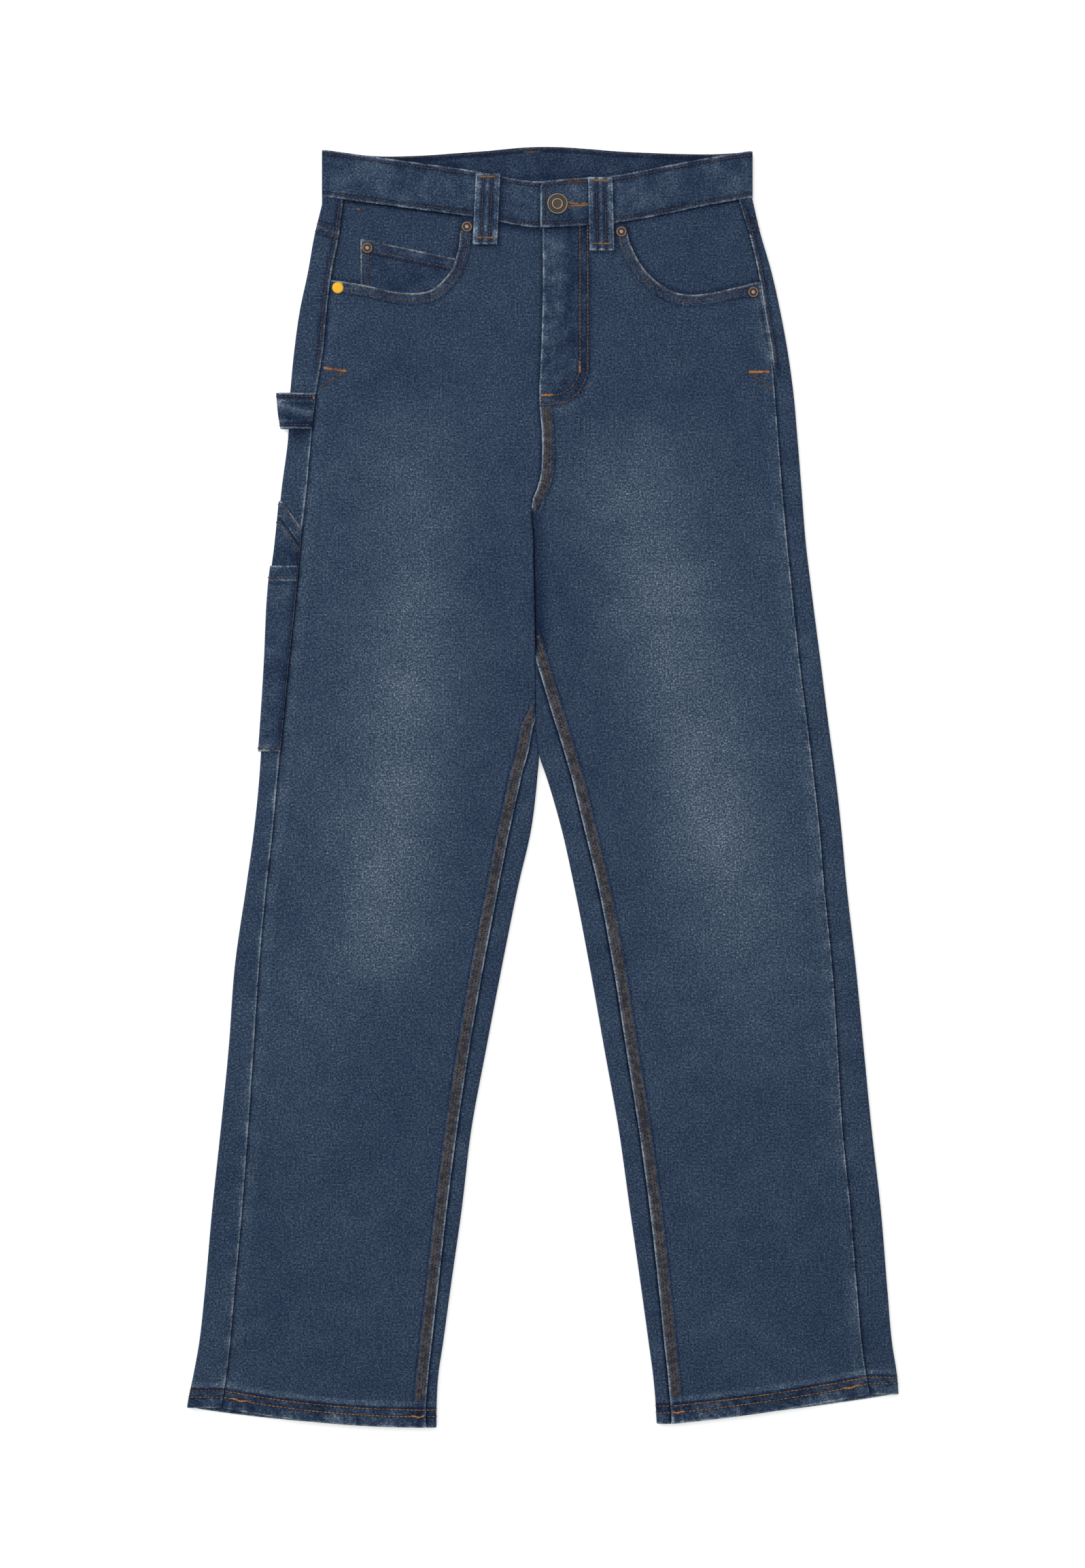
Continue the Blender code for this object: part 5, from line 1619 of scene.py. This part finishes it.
def on_band(line, lift=0.08):
    """Points on the front run of the waistband along a line of x and y."""
    x, y = close_points(line)
    height = band_surface(x) + band_relief(x, y, along(FRONT_BAND, 1, x), along(FRONT_BAND, 2, x))
    return spots(x, y, height + lift)


band_runs = []
end_x = BAND_END + BAND_INSET
left_x = np.linspace(end_x + 2.0, BAND_FOLD_LEFT + 1.0, 60)
right_x = np.linspace(BAND_END - 1.0, BAND_FOLD_RIGHT - 1.0, 60)
for x in (left_x, right_x):
    for column, inset in ((1, -BAND_INSET), (2, BAND_INSET)):
        band_runs.append(topstitch(on_band(spots(x, along(FRONT_BAND, column, x) + inset))))
top_y = float(along(FRONT_BAND, 1, end_x)) - BAND_INSET
low_y = float(along(FRONT_BAND, 2, end_x)) + BAND_INSET
corner = [(end_x + 3.4, top_y + 0.2), (end_x + 1.0, top_y - 1.0), (end_x, top_y - 3.4)]
corner += [(end_x, low_y), (end_x + 2.0, low_y)]
band_runs.append(run_of(on_band(corner), pitch=2.9, length=2.7))
back_x = np.linspace(BAND_FOLD_RIGHT + 3.0, BAND_FOLD_LEFT - 3.0, 120)
back_y = along(BACK_BAND, 1, back_x)
inside = LAYER + BAND + 0.1
band_runs.append(topstitch(spots(back_x, back_y - 1.3, inside + 0.5)))
for inset in (BAND_INSET, BAND_WIDTH - BAND_INSET):
    line = spots(back_x, back_y - inset, LAYER - 0.1)
    band_runs.append(run_of(line, (0.0, 0.0, -1.0), pitch=3.4, length=2.6))
sew("waistband_thread", band_runs, BROWN_THREAD, 13)

# Buttonhole: a keyhole worked in light brown thread on the left end, wide at the button. Above it, at the
# waistband's upper edge, five close rows of brown thread lock the end of the sewing.
hole_y = 473.1
slot_half = [(20.2, 2.4), (23.0, 1.3), (26.0, 0.8), (36.6, 0.7)]
slot_line = [(x, hole_y + half) for x, half in slot_half] + [(37.2, hole_y)]
slot_line += [(x, hole_y - half) for x, half in slot_half[::-1]]
hole_run = run_of(on_band(slot_line, 0.2), pitch=0.5, length=1.9, thick=0.7, across=0.25)
sew("buttonhole_thread", [hole_run], HEM_THREAD, 14)
lock_runs = []
for row in range(5):
    line = [(18.4, 493.6 - 0.85 * row), (35.4, 493.9 - 0.85 * row)]
    lock_runs.append(run_of(on_band(line, 0.1), pitch=2.0, length=1.9, thick=0.8))
sew("waistband_locking", lock_runs, BROWN_THREAD, 15)

# Belt loops: narrow folded straps with two rows of thread, bartacked over the waistband in front. The back
# ones are pressed flat under the waistband.
LOOP_ROW = 3.5
BACK_LOOP_TAIL = 12.0
# name, x of the middle
BACK_LOOPS = (
    ("belt_loop_back_right", -112.0),
    ("belt_loop_back_centre", -5.0),
    ("belt_loop_back_left", 104.0),
)


def loop_points(loop, offset, lift=0.0):
    """Points down a front belt loop at an offset from its middle: it lies on the waistband and the panel at
    the source's stations, bridges the step between them and is rolled at its edges."""
    _, leg, top_x, bottom_x, bottom_y = loop
    band_top = float(along(FRONT_BAND, 1, top_x)) - 0.5
    band_low = float(along(FRONT_BAND, 2, top_x))
    stops = np.append(np.linspace(band_top, band_low - 2.0, 5), np.linspace(band_low - 6.0, bottom_y, 3))
    middle = top_x + (bottom_x - top_x) * (band_top - stops) / (band_top - bottom_y)
    under = hip_surface(leg, middle + offset, np.minimum(stops, band_low))
    under = np.where(stops > band_low - 3.0, np.maximum(under, band_surface(middle + offset)), under)
    y = np.linspace(band_top, bottom_y, 44)
    x = np.interp(-y, -stops, middle) + offset
    z = np.interp(-y, -stops, under) + GAP + STRAP
    from_end = np.minimum(band_top - y, y - bottom_y)
    edge = np.minimum(LOOP_WIDTH / 2 - abs(offset), from_end)
    z = z - 0.45 * bell(edge, 1.0) - 0.2 * bell(abs(offset), 0.9, LOOP_ROW)
    wave = 0.3 * np.sin((band_top - y) / (band_top - bottom_y) * 3 * math.pi) * soft_step(from_end, 0, 8)
    z = z + 0.25 * soft_step(edge, 1.0, 3.0) + wave - 0.5 * bell(from_end, 2.2, 4.0)
    return spots(x, y, z + 0.08 * ripple(x, y, 14.0, 3.0) + lift)


loop_runs = []
loop_tacks = []
for loop in FRONT_LOOPS:
    name = loop[0]
    offsets = np.linspace(-LOOP_WIDTH / 2, LOOP_WIDTH / 2, 21)
    grid = np.stack([loop_points(loop, offset) for offset in offsets], axis=1)
    y = grid[..., 1]
    edge = np.minimum(LOOP_WIDTH / 2 - np.abs(offsets), np.minimum(y[:1] - y, y - y[-1:]))
    finish = {"rim": edge, "top": np.abs(np.abs(offsets) - LOOP_ROW), "sewn": 0.6}
    strap = dress(cloth_shell(name + "_strap", grid, STRAP, finish), LOOP_DENIM, name)
    cut_area(grid)
    for offset in (-LOOP_ROW, LOOP_ROW):
        loop_runs.append(run_of(loop_points(loop, offset, 0.12), pitch=2.9, length=2.7))
    across = np.array([loop_points(loop, offset, 0.3) for offset in np.linspace(-7.2, 7.2, 9)])
    for place in (2, -5):
        loop_tacks.append(run_of(across[:, place], pitch=0.46, length=1.7, thick=0.6, across=0.25))
for name, middle in BACK_LOOPS:
    x = middle + np.linspace(-LOOP_WIDTH / 2, LOOP_WIDTH / 2, 15)
    top = along(BACK_BAND, 1, x) - 1.0
    low = back_waist(x) - BACK_LOOP_TAIL
    y = top + (low - top) * np.linspace(0.0, 1.0, 36)[:, None]
    grid = spots(x, y, 0.0)
    rim = np.minimum(np.minimum(top - y, y - low), LOOP_WIDTH / 2 - np.abs(x - middle))
    finish = {"rim": rim, "top": np.abs(np.abs(x - middle) - LOOP_ROW), "sewn": 0.6}
    strap = dress(cloth_shell(name + "_strap", grid, CLOTH, finish, -1), LOOP_DENIM, name)
    cut_area(grid)
sew("belt_loop_thread", loop_runs, BROWN_THREAD, 16)
back_tack = float(along(BACK_BAND, 1, -8.0)) - 4.2
sew("belt_loop_bartacks", loop_tacks, HEM_THREAD, 17)
back_run = bartack((-15.0, back_tack), (-1.6, back_tack + 0.4), inside + 0.1)
sew("back_loop_bartack", [back_run], BROWN_THREAD, 20)

# Rivets and shank button: pressed copper and brass, antiqued dark with the high parts rubbed bright. Four
# rivets hold the corners of the pockets, a fifth is enamelled yellow.
RIVET_RADIUS = 4.6
BUTTON_RADIUS = 8.5
BUTTON_X = 12.2
BUTTON_Y = 473.6
# name, x, y, depth under the front panel's surface
RIVETS = (
    ("rivet_coin_pocket", -142.5, 438.5, LAYER),
    ("rivet_scoop_right", -61.4, 455.5, 0.0),
    ("rivet_scoop_left", 64.2, 451.5, 0.0),
    ("rivet_side_left", 171.5, 402.5, 0.0),
    ("rivet_yellow", -166.5, 406.0, 0.0),
)
# radius and height, from the middle of the top to the middle of the foot
RIVET_PROFILE = np.array([
    (0.0, 1.32), (0.9, 1.30), (1.5, 1.16), (1.85, 0.86), (2.3, 0.76), (2.8, 0.80), (3.2, 1.02), (3.6, 1.10),
    (4.1, 0.98), (4.45, 0.66), (RIVET_RADIUS, 0.3), (RIVET_RADIUS, 0.0), (2.0, 0.0), (0.0, 0.0),
])
DOME_PROFILE = np.array([
    (0.0, 1.30), (1.2, 1.27), (2.4, 1.18), (3.4, 1.0), (4.1, 0.76), (4.5, 0.44), (RIVET_RADIUS, 0.2),
    (RIVET_RADIUS, 0.0), (2.0, 0.0), (0.0, 0.0),
])
BUTTON_PROFILE = np.array([
    (0.0, 2.30), (2.2, 2.32), (3.1, 2.28), (3.5, 2.62), (3.9, 2.76), (4.4, 2.70), (4.8, 2.28), (5.2, 2.16),
    (6.9, 2.16), (7.2, 2.44), (7.6, 2.78), (8.0, 2.72), (8.35, 2.42), (BUTTON_RADIUS, 2.0),
    (BUTTON_RADIUS, 1.2), (7.6, 0.7), (4.5, 0.6), (4.5, 0.0), (0.0, 0.0),
])
CHANNEL_RADIUS = 6.05


def turned(name, profile, place, sides, knurl=0.0):
    """A turned piece: a profile of radius and height carried round an axis, its middle closed by a ring so
    small that it has no width. A knurl raises rows of dots in the button's dark channel."""
    run = run_along(profile)
    stops = np.unique(np.concatenate([run, np.linspace(0.0, run[-1], 56)]))
    radius, height = at_runs(profile, run, stops).T[:, :, None]
    radius = np.maximum(radius, 0.02)
    turn = np.arange(sides) * 2 * math.pi / sides
    off = radius - CHANNEL_RADIUS
    channel = np.exp(-((off / 0.85) ** 4)) * (height > 1.5)
    height = height + knurl * channel * np.abs(np.sin(turn * 24)) * (0.6 + 0.4 * np.cos(off * 4.5))
    x = place[0] + radius * np.cos(turn)
    y = place[1] + radius * np.sin(turn)
    points = spots(x, y, place[2] + height)
    corner = np.arange(len(stops) * sides).reshape(-1, sides)
    near, far = corner[0], corner[-1]
    fan = [(near[0], near[i], near[i + 1], near[i + 2]) for i in range(1, sides - 2, 2)]
    fan += [(far[0], far[i + 2], far[i + 1], far[i]) for i in range(1, sides - 2, 2)]
    faces = np.concatenate([ring_faces(corner), np.array(fan)])
    mesh = surface_mesh(name, points.reshape(-1, 3) * MM, faces)
    mark_points(mesh, "raised", height)
    return add(name, mesh)


def antique_metal(name, dark, bright, low, high):
    """Antiqued metal: dark in its channels, rubbed bright on what stands highest, with fine scratches."""
    paint = Paint(name, roughness=0.42, metallic=1.0)
    raised = paint.field("raised")
    grime = paint.noise(paint.place(EVEN), 900.0, 3.0, 0.6)
    rubbed = (raised + (grime - 0.5) * 0.5).step(low, high)
    paint.feed(Base_Color=paint.mix(rubbed, dark, bright))
    paint.feed(Roughness=0.66 - rubbed * 0.20 + (grime - 0.5) * 0.2)
    paint.bump(grime, 0.3, 0.1 * MM)
    return paint.material


COPPER = antique_metal("antique_copper", (0.055, 0.040, 0.033), (0.220, 0.165, 0.135), 0.78, 1.25)
BRASS = antique_metal("antique_brass", (0.062, 0.050, 0.041), (0.235, 0.198, 0.162), 2.22, 2.78)
enamel = Paint("yellow_enamel", roughness=0.42, specular=0.3)
flow = enamel.noise(enamel.place(EVEN), 420.0, 2.0, 0.5)
enamel.feed(Base_Color=enamel.mix(flow, (0.690, 0.350, 0.004), (0.780, 0.430, 0.008)))
enamel.bump(flow, 0.15, 0.1 * MM)
for name, x, y, drop in RIVETS:
    profile, material, slot = RIVET_PROFILE, COPPER, "antique_copper"
    if name == "rivet_yellow":
        profile, material, slot = DOME_PROFILE, enamel.material, "yellow_enamel"
    height = float(hip_surface(RIGHT if x < 0 else LEFT, x, y)) - drop + GAP
    dress(turned(name + "_cap", profile, (x, y, height), 48), material, name, slot=slot)
button_place = (BUTTON_X, BUTTON_Y, FRONT_BAND_TOP + BAND + 2 * GAP)
button = turned("button_cap", BUTTON_PROFILE, button_place, 96, 0.34)
dress(button, BRASS, "button", slot="antique_brass")

# The box round all that is shown
low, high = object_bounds()
